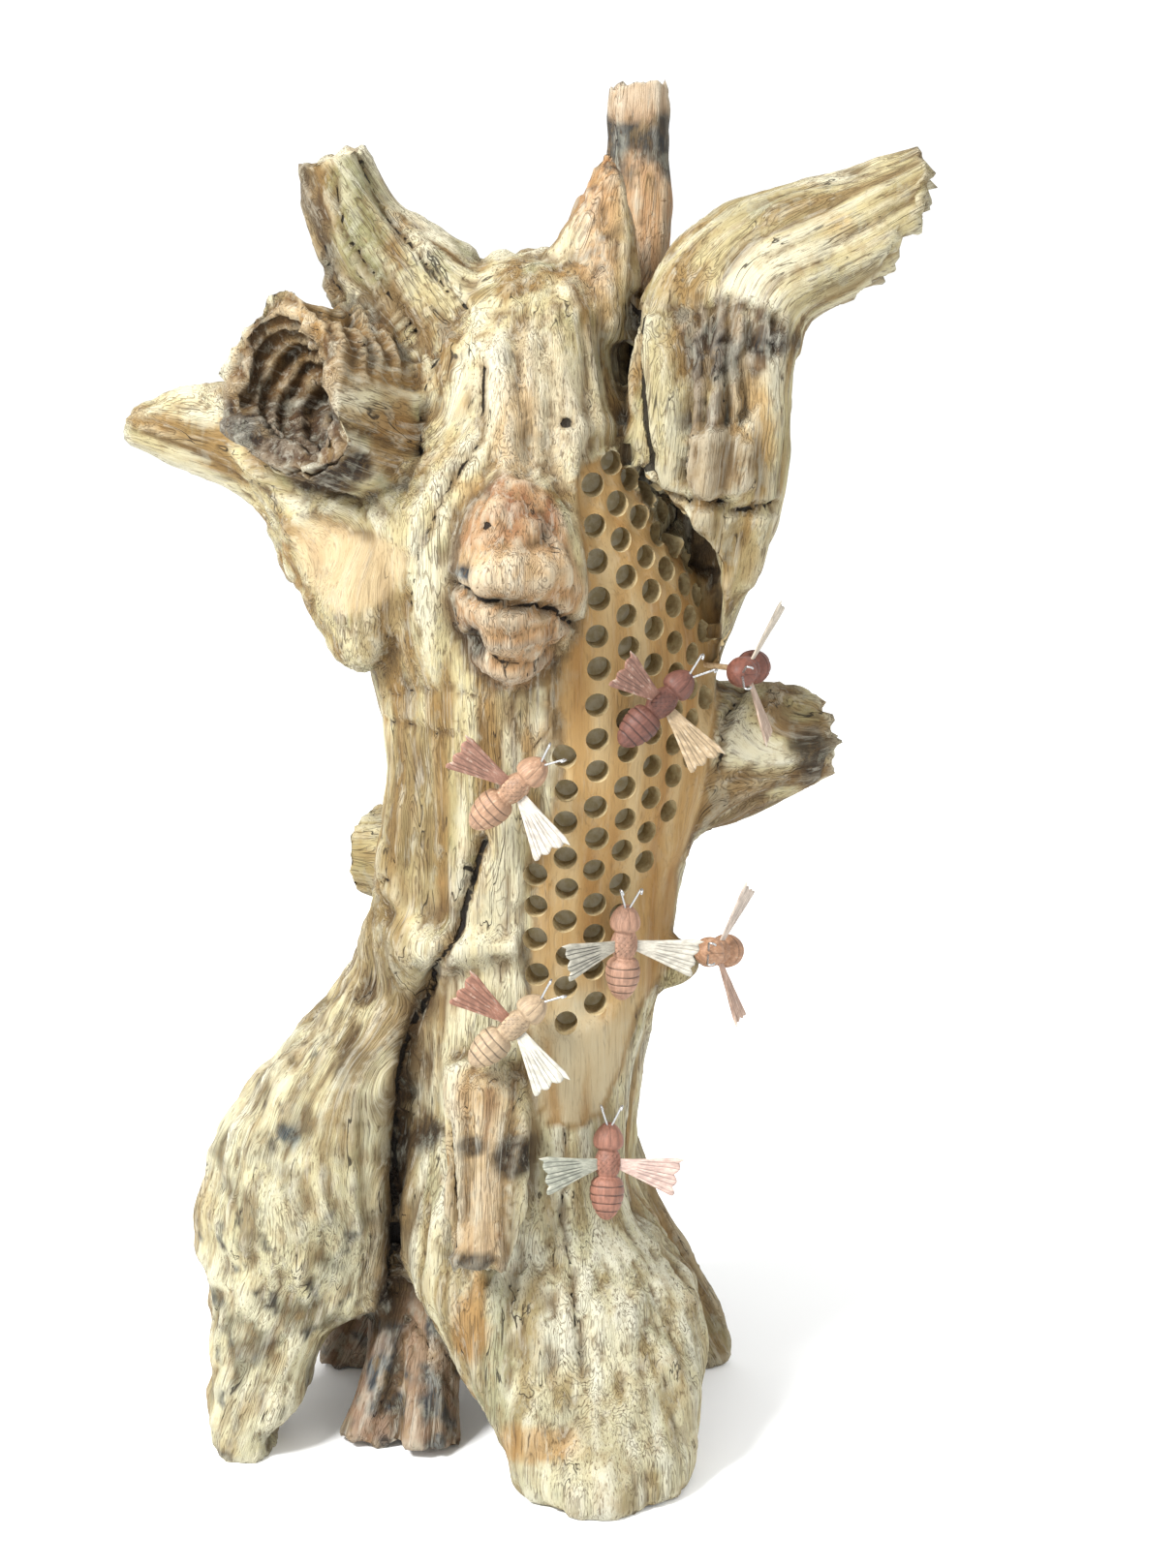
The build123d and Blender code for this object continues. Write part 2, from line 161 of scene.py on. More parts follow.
def plugs(name, holes, radius, length, sides=24):
    """Round plugs that fill blind holes, from just below their floors to their mouths."""
    bm = bmesh.new()
    for middle, axis, _ in holes:
        turn = Vector((0, 0, 1)).rotation_difference(axis).to_matrix().to_4x4()
        place = Matrix.Translation(middle + axis * ((length - 0.5) / 2 * MM)) @ turn
        bmesh.ops.create_cone(bm, cap_ends=True, segments=sides, radius1=radius * MM, radius2=radius * MM,
                              depth=(length + 0.5) * MM, matrix=place)
    bmesh.ops.recalc_face_normals(bm, faces=bm.faces[:])
    made = bpy.data.meshes.new(name)
    bm.to_mesh(made)
    bm.free()
    piece = bpy.data.objects.new(name, made)
    bpy.context.scene.collection.objects.link(piece)
    return piece


def combine(target, tool, operation):
    """Joins a tool to the target or cuts it out, and removes the tool."""
    modifier = target.modifiers.new("combine", "BOOLEAN")
    modifier.solver = "MANIFOLD"
    modifier.operation = operation
    modifier.object = tool
    bpy.context.view_layer.objects.active = target
    bpy.ops.object.modifier_apply(modifier=modifier.name)
    bpy.data.objects.remove(tool)


class Links:
    """Which points of a mesh are joined, for smoothing any value over its surface."""

    def __init__(self, mesh):
        edges = np.zeros(len(mesh.edges) * 2, dtype=np.int64)
        mesh.edges.foreach_get("vertices", edges)
        self.a, self.b = edges.reshape(-1, 2).T
        self.count = len(mesh.vertices)
        self.degree = np.bincount(np.concatenate([self.a, self.b]), minlength=self.count).astype(float)
        self.degree[self.degree == 0] = 1

    def average(self, values):
        result = np.empty_like(values)
        for k in range(values.shape[1]):
            column = values[:, k]
            total = np.bincount(self.a, weights=column[self.b], minlength=self.count)
            total += np.bincount(self.b, weights=column[self.a], minlength=self.count)
            result[:, k] = total / self.degree
        return result

    def smooth(self, values, rounds, keep=None):
        """Evens values out without shrinking them; keep (0 to 1) holds points where they were."""
        start = values
        for i in range(rounds):
            for step in (0.6, -0.61):
                values = values + (self.average(values) - values) * step
        if keep is not None:
            values = values * (1 - keep) + start * keep
        return values


def bumps(points, size, octaves=1, seed=0.0):
    """Smooth noise between about -1 and 1, whose lumps are about size millimetres across."""
    scaled = points / size + seed
    total = np.zeros(len(points))
    strength = 1.0
    for _ in range(octaves):
        total += strength * np.array([noise.noise(p) for p in scaled.tolist()])
        scaled = scaled * 2.03 + 11.7
        strength *= 0.5
    return total


def limb_weights(points):
    """How much each point belongs to each limb, and each limb's direction."""
    scores, ways = [], []
    for start, end, r0, r1 in LIMBS.values():
        a, b = np.array(start, float), np.array(end, float)
        way = b - a
        t = np.clip(((points - a) @ way) / (way @ way), 0, 1)
        reach = np.linalg.norm(points - (a + t[:, None] * way), axis=1) / (r0 + (r1 - r0) * t)
        scores.append(np.exp(-7.0 * reach))
        ways.append(way / np.linalg.norm(way))
    weights = np.array(scores)
    return weights / weights.sum(0), np.array(ways)


def streaks(space, size, length, seed=0.0):
    """Soft noise drawn out along the grain."""
    return bumps(space * [1, 1, size / length], size, 2, seed) * 1.5


def fade(distance, inner, outer):
    """1 within inner, 0 beyond outer, smooth between."""
    t = np.clip((outer - distance) / (outer - inner), 0, 1)
    return t * t * (3 - 2 * t)


def near(points, centre, radii):
    """Distance from a centre in units of the given radii."""
    return np.linalg.norm((points - np.array(centre, float)) / np.array(radii, float), axis=1)


source = frame["nodes"]["stump"].data.copy()
bm = bmesh.new()
bm.from_mesh(source)
bmesh.ops.remove_doubles(bm, verts=bm.verts[:], dist=2e-6)
tunnels = [(m.copy(), n.copy(), 0) for m, n, _ in round_holes(bm, TUNNEL_RADIUS)]
pegs = [(m.copy(), n.copy(), 0) for m, n, _ in round_holes(bm, PEG_RADIUS)]
print("tunnels found", len(tunnels), "peg holes", len(pegs), "faces", len(bm.faces))
bm.to_mesh(source)
bm.free()
stump = bpy.data.objects.new("stump_carved", source)
bpy.context.scene.collection.objects.link(stump)
combine(stump, plugs("tunnel_plugs", tunnels, TUNNEL_RADIUS + 0.03, TUNNEL_DEPTH), "UNION")
combine(stump, plugs("peg_plugs", pegs, PEG_RADIUS + 0.03, PEG_DEPTH), "UNION")
source = stump.data
bpy.context.view_layer.objects.active = stump
stump.select_set(True)
source.remesh_voxel_size = VOXEL * MM
source.remesh_voxel_adaptivity = 0
bpy.ops.object.voxel_remesh()
mesh = stump.data
print("remeshed", len(mesh.vertices), "points")

# ---------------------------------------------------------------------------------------------
# Carving the weathered surface. Lines and outlines are (x, z) as seen by the eye on the plane y = 0.
# ---------------------------------------------------------------------------------------------

FACE = [(28, 470), (31, 440), (28, 425), (18, 405), (17, 390), (19, 349), (10, 323), (5, 297), (1, 244),
        (-2, 217), (2, 173), (9, 157), (27, 154), (38, 162), (48, 184), (56, 217), (73, 244), (81, 270),
        (78, 297), (90, 333), (99, 390), (97, 430), (91, 450), (77, 465), (67, 475), (52, 500), (47, 509),
        (37, 513), (28, 509), (24, 500)]
BURL = [(-39, 450), (-36, 475), (-26, 493), (-14, 504), (1, 506), (15, 495), (23, 470), (29, 445), (25, 423),
        (15, 405), (0, 394), (-17, 394), (-29, 405), (-39, 425)]
SANDED = [(-119, 478), (-104, 483), (-75, 476), (-57, 463), (-71, 440), (-96, 432), (-110, 448)]
SCAR = [(70, 590), (100, 596), (120, 585), (122, 560), (112, 530), (110, 500), (80, 497), (74, 530),
        (78, 556)]
BLOCK = [(80, 524), (98, 530), (116, 520), (116, 497), (92, 490), (78, 500)]
# line, width, depth
CRACKS = [
    ([(-24, 313), (-30, 294), (-37, 268), (-52, 238), (-62, 211), (-66, 184), (-71, 135), (-74, 61)], 2.4, 6.0),
    ([(-45, 565), (-50, 547), (-53, 517), (-60, 500)], 0.9, 2.0),
    ([(-21, 561), (-21, 541), (-24, 520), (-41, 495), (-54, 466), (-59, 437)], 1.0, 2.2),
    ([(19, 151), (20, 126), (18, 101), (21, 84), (27, 16)], 0.9, 2.0),
    ([(112, 398), (102, 380), (100, 354)], 1.2, 2.5),
    ([(8, 370), (-2, 354), (-5, 344)], 0.8, 1.5),
    ([(61, 497), (76, 490), (93, 489), (111, 485), (125, 490)], 1.8, 5.0),
    ([(76, 490), (72, 470), (82, 460), (96, 455)], 1.0, 2.5),
    ([(-39, 450), (-28, 442), (-12, 439), (2, 437), (16, 434), (26, 428)], 2.2, 6.0),
    ([(-29, 425), (-14, 412), (2, 409), (18, 415)], 0.6, 2.5),
    ([(56, 592), (55, 562), (58, 530), (62, 500)], 4.0, 6.0),
    ([(-102, 618), (-96, 600), (-84, 585)], 0.5, 1.5),
    ([(-92, 350), (-80, 330), (-66, 300)], 0.4, 1.2),
    ([(-93, 653), (-90, 625), (-70, 596), (-54, 575)], 0.9, 3.0),
    ([(-79, 662), (-67, 634), (-49, 610), (-30, 587)], 0.9, 2.5),
    ([(-78, 379), (-57, 372), (-32, 368)], 0.5, 1.5),
    ([(-74, 390), (-47, 394), (-22, 389)], 0.5, 1.2),
    ([(-46, 157), (-44, 123), (-41, 84)], 1.6, 4.0),
    ([(-67, 44), (-47, 10), (-27, -19)], 0.6, 2.0),
]
KNOT_HOLES = [((21, 531), 2.4), ((-53, 517), 1.6), ((-31, 292), 1.8), ((-33, 298), 1.5), ((-19, 478), 1.9),
              ((-72, 292), 1.6)]
# end point, direction, reach, how ragged
ENDS = [((-95, 0, 662), (-0.25, 0, 0.97), 9, 2.5), ((56, 51, 697), (0, 0, 1), 12, 6.0),
        ((185, -10, 622), (0.9, 0.1, -0.43), 14, 8.0), ((156, 20, 366), (1, 0.1, 0.1), 10, 7.0),
        ((-200, 10, 528), (-1, 0, 0), 10, 2.0), ((-23, -114, 124), (0, -0.2, -1), 9, 6.0),
        ((-89, 72, 288), (-0.8, 0.5, 0), 8, 3.0), ((41, -10, 668), (0, 0, 1), 14, 3.0)]
CUP_MOUTH, CUP_WAY = np.array([-118.0, -64.0, 559.0]), np.array([-0.655, -0.737, 0.164])


def as_seen(points):
    """Where the eye sees each point on the plane y = 0, as (x, z)."""
    t = -EYE[1] / (points[:, 1] - EYE[1])
    return EYE[[0, 2]] + (points[:, [0, 2]] - EYE[[0, 2]]) * t[:, None]


def to_line(seen, line):
    """Distance in millimetres to a bent line."""
    best = np.full(len(seen), 1e9)
    for one, two in zip(line, line[1:]):
        a, way = np.array(one, float), np.array(two, float) - np.array(one, float)
        t = np.clip(((seen - a) @ way) / (way @ way), 0, 1)
        best = np.minimum(best, np.linalg.norm(seen - (a + t[:, None] * way), axis=1))
    return best


def inside(seen, outline):
    """Distance to an outline in millimetres, positive inside it."""
    odd = np.zeros(len(seen), bool)
    for (x0, z0), (x1, z1) in zip(outline, outline[1:] + outline[:1]):
        crosses = (z0 > seen[:, 1]) != (z1 > seen[:, 1])
        at_x = x0 + (seen[:, 1] - z0) * (x1 - x0) / (z1 - z0 if z1 != z0 else 1e-9)
        odd ^= crosses & (seen[:, 0] < at_x)
    return np.where(odd, 1, -1) * to_line(seen, outline + outline[:1])


def step(value, low, high):
    t = np.clip((value - low) / (high - low), 0, 1)
    return t * t * (3 - 2 * t)


points = coordinates(mesh)
links = Links(mesh)
cup_offset = points - CUP_MOUTH
cup_along = cup_offset @ CUP_WAY
cup_out = np.linalg.norm(cup_offset - cup_along[:, None] * CUP_WAY, axis=1)
cup_rim = step(cup_along, -14, -4) * fade(cup_out, 60, 75)
seen = as_seen(points)
face_depth = inside(seen, FACE)
front = points[:, 1] < -8
face_band = fade(np.abs(face_depth), 2, 9) * front
keep = np.clip(face_band * 0.8 + cup_rim, 0, 1)
for end, way, reach, _ in ENDS:
    close = ((points - np.array(end, float)) @ (np.array(way, float) / np.linalg.norm(way)))
    apart = np.linalg.norm(points - np.array(end, float), axis=1)
    keep = np.maximum(keep, step(close, -reach, -reach * 0.4) * fade(apart, 40, 55) * 0.85)
points = links.smooth(points, 16, keep[:, None])
shelf = step(points[:, 1], 15, 35) * fade(np.abs(points[:, 2] - 185), 50, 85)
for _ in range(45):
    points = points + (0.6 * shelf)[:, None] * (links.average(points) - points)
set_coordinates(mesh, points)

normal = normals(mesh)
def grain_space(points):
    """Every point in its own limb's frame, so that grain can be drawn along z."""
    result = np.zeros_like(points)
    for (start, end, _, _), weight, name in zip(LIMBS.values(), weights, LIMBS):
        if name.startswith("stem"):
            local = points
        else:
            a = Vector(start)
            turn = (Vector(end) - a).rotation_difference(Vector((0, 0, 1))).to_matrix()
            local = (points - np.array(start, float)) @ np.array(turn).T + np.array(start, float)
        result += local * weight[:, None]
    return result


weights, _ = limb_weights(points)
share = dict(zip(LIMBS, weights))
space = grain_space(points)
seen = as_seen(points)
to_eye = EYE - points
facing = np.einsum("ij,ij->i", normal, to_eye) / np.linalg.norm(to_eye, axis=1)
front = step(facing, 0.02, 0.3)
face_depth = inside(seen, FACE)
on_face = step(face_depth, -1.5, 1.5) * front * (points[:, 1] < -4)
burl_depth = inside(seen, BURL)
on_burl = step(burl_depth, -2, 3) * front * (points[:, 1] < -60)
right_wood = np.clip(share["right_limb"] + share["right_stub"], 0, 1)
scar = step(inside(seen, SCAR) + 6 * bumps(points, 16, 3, 60.0), -3, 3) * front * right_wood
block = step(inside(seen, BLOCK), -1, 2) * front * share["right_limb"]
sanded = step(inside(seen, SANDED), -4, 4) * front
bell = share["stem_low"] + 0.5 * share["stem_mid"] * (points[:, 2] < 200)

# soft lumps, flutes along the grain, fine ridges
calm = 1 - np.clip(on_face + sanded * 0.9, 0, 1)
fine = streaks(space, 9, 120, 3.0)
ridges = streaks(space, 5.5, 80, 9.0)
flutes = streaks(space, 26, 220, 21.0)
push = 3.2 * bumps(points, 75, 1, 5.0) + 1.6 * bumps(points, 30, 2, 15.0)
push += 3.0 * flutes + 1.5 * fine + 0.9 * ridges
push += share["left_root"] * 3.0 * bumps(points, 22, 2, 40.0)
prongs = share["prong_a"] + share["prong_b"] + share["back_root"]
push += prongs * 2.6 * streaks(space, 9, 120, 33.0)
push *= calm
push += on_face * 0.25 * fine

# burl: a rough scar above a deep slit, a hollow and folds below
folds = np.sin((seen[:, 1] - 0.010 * (seen[:, 0] + 8) ** 2) * 0.5 + 2.2 * bumps(points, 18, 2, 70.0))
lower = step(436 - seen[:, 1], 0, 14)
push += on_burl * (lower * (1.1 * folds) + (1 - lower) * 2.2 * bumps(points, 11, 2, 55.0))
push += on_burl * 7.0 * fade(near(seen, (-2, 455), (34, 16)), 0.3, 1.0) * (1 - lower)
push -= on_burl * 7.0 * fade(near(seen, (-28, 418), (9, 9)), 0.2, 1.0)
push -= 1.4 * fade(np.abs(burl_depth), 0.5, 6) * front * (points[:, 1] < -55) * (1 - on_face)

# right limb: sunken dark scar with torn layers, a pale block, a raised strip beside the crevice
torn = np.sin(seen[:, 0] * 0.55 + 2.2 * bumps(points, 16, 2, 80.0)) + 0.8 * bumps(points, 8, 2, 81.0)
push += scar * (-5.0 + 2.4 * torn) * (1 - block) + block * (3.0 + 1.0 * bumps(points, 6, 1, 82.0))
strip = fade(np.abs(seen[:, 0] - 66 - 0.05 * (540 - seen[:, 1])), 4, 9) * front * share["right_limb"]
push += strip * 3.0 * step(seen[:, 1], 490, 500) * (seen[:, 1] < 585)

# cup: torn layers inside
cup_offset = points - CUP_MOUTH
cup_along = cup_offset @ CUP_WAY
cup_out = np.linalg.norm(cup_offset - cup_along[:, None] * CUP_WAY, axis=1)
in_cup = fade(cup_out, 34, 42) * step(np.einsum("ij,j->i", normal, CUP_WAY), -0.5, 0.1)
in_cup *= step(cup_along, -60, -52) * (cup_along < 3)
layers = np.sin(cup_along * 0.5 + seen[:, 1] * 0.28 + 2.4 * bumps(points, 20, 2, 90.0))
push += in_cup * (2.2 * layers + 1.2 * bumps(points, 7, 2, 91.0))
push += share["spike"] * 2.0 * bumps(points, 7, 2, 95.0)

# room for the bees to turn
for number in range(1, 8):
    low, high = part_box(f"bee_{number}_pin")
    seat = np.array((low + high) / 2) / MM - SHIFT
    room = fade(np.linalg.norm(points - seat, axis=1), 38, 52)
    push += room * (np.minimum(push, -1.4 if number > 5 else -0.4) - push)

points = points + normal * push[:, None]

# ragged ends and rim
cup_rim = step(cup_along, -16, -2) * fade(cup_out, 60, 75)
peak = fade(near(seen, (-122, 600), (22, 30)), 0.0, 1.0)
points += CUP_WAY * (cup_rim * (4.0 * bumps(points, 12, 2, 97.0) - 2.0))[:, None]
points[:, 2] += cup_rim * peak * 12
fallen = cup_rim * fade(near(seen, (-116, 517), (36, 24)), 0.35, 1.0)
points -= CUP_WAY * (fallen * (13 + 5 * bumps(points, 14, 2, 98.0)))[:, None]
for end, out, reach, ragged in ENDS:
    out = np.array(out, float) / np.linalg.norm(out)
    offset = points - np.array(end, float)
    along = offset @ out
    side = np.linalg.norm(offset - along[:, None] * out, axis=1)
    close = step(along, -reach, 0) * fade(side, 42, 55) * (along < 20)
    flat = points - out * (along * 0.85)[:, None]
    points += out * (close * (ragged * bumps(flat, 7, 2, 99.0) - ragged * 0.5))[:, None]

# cracks and small holes
crack = np.full(len(points), 9.0)
for line, width, depth in CRACKS:
    wander = 1.6 * bumps(points, 9, 2, 111.0)
    gap = np.abs(to_line(seen + wander[:, None] * 0.7, line))
    taper = 0.55 + 0.45 * bumps(points, 26, 1, 113.0)
    edge = gap - width * 0.5 * np.clip(taper + 0.4, 0.2, 1.2)
    crack = np.where(front > 0.3, np.minimum(crack, edge), crack)
    points -= normal * (depth * fade(gap, width * 0.3, width + 2.6) * front * (1 - on_face))[:, None]
for centre, radius in KNOT_HOLES:
    gap = np.linalg.norm(seen - np.array(centre), axis=1)
    crack = np.where(front > 0.3, np.minimum(crack, gap - radius), crack)
    points -= normal * (3.0 * fade(gap, radius * 0.5, radius + 2.5) * front)[:, None]

points[:, 2] = np.maximum(points[:, 2], 0.0)
set_coordinates(mesh, points)
normal = normals(mesh)

# ---------------------------------------------------------------------------------------------
# Painting the stump: a colour for each point, which the wood's grain is laid over
# ---------------------------------------------------------------------------------------------


def hue(text):
    return np.array([int(text[i:i + 2], 16) / 255 for i in (0, 2, 4)])


def lay(tone, colour, amount):
    amount = np.clip(amount, 0, 1)[:, None]
    return tone * (1 - amount) + hue(colour) * amount


def patch(centre, radii, ragged, inner, outer):
    """A soft-edged oval where the eye sees it, with a ragged outline."""
    return fade(near(seen, centre, radii) + ragged * blot_noise, inner, outer)


def blot(centre, radii):
    """Such an oval on the surfaces that face the front."""
    return patch(centre, radii, 0.35, 0.55, 1.1) * front


blot_noise = bumps(points, 14, 3, 120.0)
broad = bumps(points, 60, 2, 130.0)
middle_noise = bumps(points, 20, 3, 140.0)
long_streak = streaks(space, 12, 170, 150.0)
thin_streak = streaks(space, 5.5, 110, 160.0)
hollow = np.einsum("ij,ij->i", links.average(links.average(links.average(points))) - points, normal)
wide = points.copy()
for _ in range(14):
    wide = links.average(wide)
hollow_wide = np.einsum("ij,ij->i", wide - points, normal)

tone = np.tile(hue("dccfa2"), (len(points), 1))
tone = lay(tone, "f4edd2", step(broad, -0.1, 0.7) * 0.8)
tone = lay(tone, "b3a577", step(-broad, 0.0, 0.7) * 0.75)
tone = lay(tone, "9f8252", step(long_streak, 0.1, 0.6) * 0.8)
tone = lay(tone, "6b5233", step(thin_streak, 0.4, 0.9) * 0.7)
tone = lay(tone, "f6f0d8", step(-long_streak, 0.25, 0.8) * 0.65)
tone = lay(tone, "97966d", step(middle_noise, 0.3, 0.8) * 0.5)
tone = lay(tone, "cf9f62", step(-middle_noise + 0.3 * long_streak, 0.35, 0.9) * 0.35)
upper = step(points[:, 2], 230, 330)
tone = lay(tone, "a17f49", upper * step(long_streak + middle_noise * 0.4, 0.3, 0.8) * 0.6)
tone = lay(tone, "ecdfc2", blot((5, 540), (40, 50)) * 0.75)
tone = lay(tone, "e3bf8d", blot((-5, 520), (14, 40)) * 0.5)
tone = lay(tone, "eee6c6", blot((-14, 260), (14, 80)) * 0.7)
tone = lay(tone, "8a7248", blot((-60, 330), (18, 60)) * 0.55 + blot((-75, 440), (14, 40)) * 0.5)
tone = lay(tone, "7a6238", blot((-72, 250), (12, 40)) * 0.6)

# left root: mould-dark blotches
root = share["left_root"] * step(facing, -0.2, 0.2)
tone = lay(tone, "e3e0bd", root * 0.5)
tone = lay(tone, "8c8a74", root * step(middle_noise, 0.05, 0.5) * 0.8)
tone = lay(tone, "3f3e38", root * step(bumps(points, 11, 3, 170.0) + 0.45 * middle_noise, 0.38, 0.7) * 0.9)
tone = lay(tone, "8d6f44", root * step(points[:, 2], 130, 260) * step(middle_noise, -0.4, 0.3) * 0.6)
tone = lay(tone, "1c2a38", patch((-128, 150), (8, 9), 0.5, 0.5, 1.0) * front * 0.85)
tone = lay(tone, "efe9c4", root * patch((-140, 110), (30, 50), 0.6, 0.4, 1.1) * 0.6)
tone = lay(tone, "8d7a58", root * step(long_streak, 0.3, 0.9) * 0.6)
damp = middle_noise + 0.7 * fade(near(seen, (-92, 175), (44, 90)), 0.2, 1.0)
tone = lay(tone, "6c5a3c", root * step(damp, 0.3, 0.8) * 0.75)
tone = lay(tone, "a98f5c", patch((-92, 280), (34, 40), 0.5, 0.4, 1.1) * front * 0.6)
# bell
bell_front = bell * front
tone = lay(tone, "e9e6cb", bell_front * 0.55)
tone = lay(tone, "a8966a", bell_front * step(long_streak + 0.3 * thin_streak, 0.2, 0.6) * 0.75)
tone = lay(tone, "f6f2da", bell_front * step(-long_streak, 0.2, 0.7) * 0.7)
tone = lay(tone, "8f8a60", bell_front * patch((-22, 20), (16, 70), 0.5, 0.4, 1.1) * 0.6)
tone = lay(tone, "b9803e", blot((-32, 40), (12, 34)) * 0.6 + blot((-2, -32), (34, 14)) * 0.5)

tone = lay(tone, "c59b70", on_burl * 0.85)
tone = lay(tone, "94603f", on_burl * step(seen[:, 1], 462, 484) * step(blot_noise, -0.4, 0.5) * 0.75)
tone = lay(tone, "e0c49b", on_burl * step(seen[:, 1], 444, 452) * step(470 - seen[:, 1], 0, 8) * 0.7)
tone = lay(tone, "7d5b3e", on_burl * lower * step(folds, 0.2, 1.0) * 0.6)
# painted shade: darker brown at the burl's lower left, round its hollow
tone = lay(tone, "5d4029", on_burl * lower * patch((-32, 432), (9, 26), 0.4, 0.4, 1.1) * 0.85)
tone = lay(tone, "27303a", blot((-30, 455), (8, 5)))
# painted shade: near black in the burl's dented hollow
tone = lay(tone, "35281e", blot((-28, 418), (9, 9)))
# painted shade: darker along the burl's outline on its left side
tone = lay(tone, "5c4a36", fade(np.abs(burl_depth), 0.3, 4) * front * (points[:, 1] < -55) * (1 - on_face)
           * step(-seen[:, 0] - 10 + 8 * blot_noise, -6, 14) * 0.7)

tone = lay(tone, "54402f", scar * step(torn, -0.8, 0.6) * 0.95)
tone = lay(tone, "a58a66", scar * step(torn, 0.6, 1.5) * 0.8)
# painted shadow: near black under the right stub
tone = lay(tone, "1f1711", patch((122, 572), (15, 12), 0.4, 0.4, 1.0) * front)
tone = lay(tone, "c9a873", blot((112, 528), (14, 34)) * share["right_limb"] * 0.8)
tone = lay(tone, "8f7344", blot((100, 470), (26, 20)) * 0.5)
# painted shadow: near black in the scar under the right stub
tone = lay(tone, "2a201a", blot((92, 566), (18, 16)) * scar)
tone = lay(tone, "a08a68", block * 0.9)
tone = lay(tone, "c9bd94", strip * 0.7)
tone = lay(tone, "b9ad8c", blot((88, 475), (24, 16)) * 0.6)

tone = lay(tone, "e0c9a2", sanded * 0.75)
tone = lay(tone, "76562f", in_cup)
tone = lay(tone, "a5814f", in_cup * step(layers, 0.2, 0.9) * 0.75)
tone = lay(tone, "c09a62", in_cup * step(seen[:, 1] + 8 * blot_noise, 560, 585) * step(layers, -0.4, 0.6) * 0.8)
# painted shade: near black deep inside the cup
tone = lay(tone, "1b1410", in_cup * step(548 - seen[:, 1] + 10 * blot_noise, -6, 22))
# painted shade: near black where the broken lower rim opens into the cup
tone = lay(tone, "2e2117", patch((-98, 507), (26, 15), 0.4, 0.5, 1.0) * 0.92)
tone = lay(tone, "6d4a2b", patch((-118, 522), (26, 18), 0.4, 0.5, 1.1) * 0.6)
tone = lay(tone, "9a7340", blot((-66, 522), (12, 30)) * 0.7)
tone = lay(tone, "efe6ca", patch((-84, 560), (10, 34), 0.3, 0.5, 1.0) * cup_rim * 0.8)
tone = lay(tone, "5f4a33", patch((-134, 556), (7, 40), 0.4, 0.5, 1.0) * share["cup"] * 0.8)
tone = lay(tone, "8a6c3e", share["sawn"] * step(thin_streak + long_streak, 0.1, 0.9) * 0.85)
tone = lay(tone, "98976c", share["sawn"] * blot((-80, 635), (18, 44)) * 0.75)
sawn_seam = np.abs(seen[:, 0] + 96 - 0.25 * (600 - seen[:, 1]))
tone = lay(tone, "4d3a24", share["sawn"] * fade(sawn_seam, 1, 9) * 0.8)
tone = lay(tone, "c08a5c", share["spike"] * 0.7)
tone = lay(tone, "47372a", share["spike"] * step(bumps(points, 6, 2, 180.0), 0.15, 0.6) * 0.85)
tall = share["tall"]
tone = lay(tone, "cf9c72", tall * 0.7)
charred = step(points[:, 2] + 14 * blot_noise, 648, 664) * (1 - step(points[:, 2] + 8 * blot_noise, 672, 684))
tone = lay(tone, "3a3f42", tall * charred * 0.9)
tone = lay(tone, "d8c3a8", tall * step(points[:, 2] + 6 * blot_noise, 676, 686) * 0.9)
stub = share["right_stub"]
tone = lay(tone, "a08d66", stub * step(long_streak + 0.6 * thin_streak, -0.2, 0.7) * 0.7)
tone = lay(tone, "8e7454", share["low_right"] * step(long_streak + 0.5 * middle_noise, -0.1, 0.7) * 0.7)
tone = lay(tone, "33291f", patch((147, 362), (14, 20), 0.4, 0.4, 1.0) * front * share["low_right"] * 0.8)
tone = lay(tone, "7f6a4a", share["knob"] * 0.8)

nose = share["nose"] * front
tone = lay(tone, "c3a078", nose * 0.7)
tone = lay(tone, "8d6a48", nose * step(thin_streak, 0.1, 0.8) * 0.7)
# painted shade: near-black patches in the cavities beside the nose's top, and a painted shadow under its end
# (the patch at z 76)
for centre, radii in [((-56, 151), (9, 13)), ((-9, 140), (15, 15)), ((-33, 76), (16, 9)),
                      ((-30, 143), (10, 7))]:
    tone = lay(tone, "2b2218", blot(centre, radii) * 0.85)
tone = lay(tone, "9c7b68", prongs * 0.75)
tone = lay(tone, "2f3a44", prongs * step(bumps(points, 16, 2, 190.0), 0.0, 0.5) * 0.85)
# painted shade: the roots at the back are darkened
tone = lay(tone, "7d6a4e", share["rear"] * 0.3 + share["right_back"] * 0.4 + share["left_back"] * 0.5)

# darker in small hollows, painted shade in wide hollows and along the valley and arch of the left root, paler
# on ridges
tone = lay(tone, "6e5637", step(hollow, 0.2, 1.0) * 0.6 * (1 - on_face))
# painted shade: dark in the wide hollows
tone = lay(tone, "3b2f22", step(hollow_wide, 2.0, 7.0) * 0.9 * (1 - on_face))
tone = lay(tone, "f6f2e0", step(-hollow, 0.3, 1.2) * 0.45 * (1 - on_face))
# painted shade: dark brown along the valley between the left root and the bole, near black at its bottom
groove = fade(to_line(seen, [(-58, 225), (-66, 184), (-72, 135), (-78, 50)]) + 3 * blot_noise, 2, 15) * front
tone = lay(tone, "5d4628", groove * 0.85)
valley = to_line(seen, [(-66, 184), (-72, 135), (-78, 50)]) + 3 * blot_noise
tone = lay(tone, "2c2117", fade(valley, 0, 7) * front * 0.85)
# painted shade: dark under the arch of the left root
arch = fade(np.abs(points[:, 2] - 62) + 6 * blot_noise, 4, 16) * step(seen[:, 0], -115, -85)
tone = lay(tone, "2c2117", arch * share["left_root"] * 0.7)

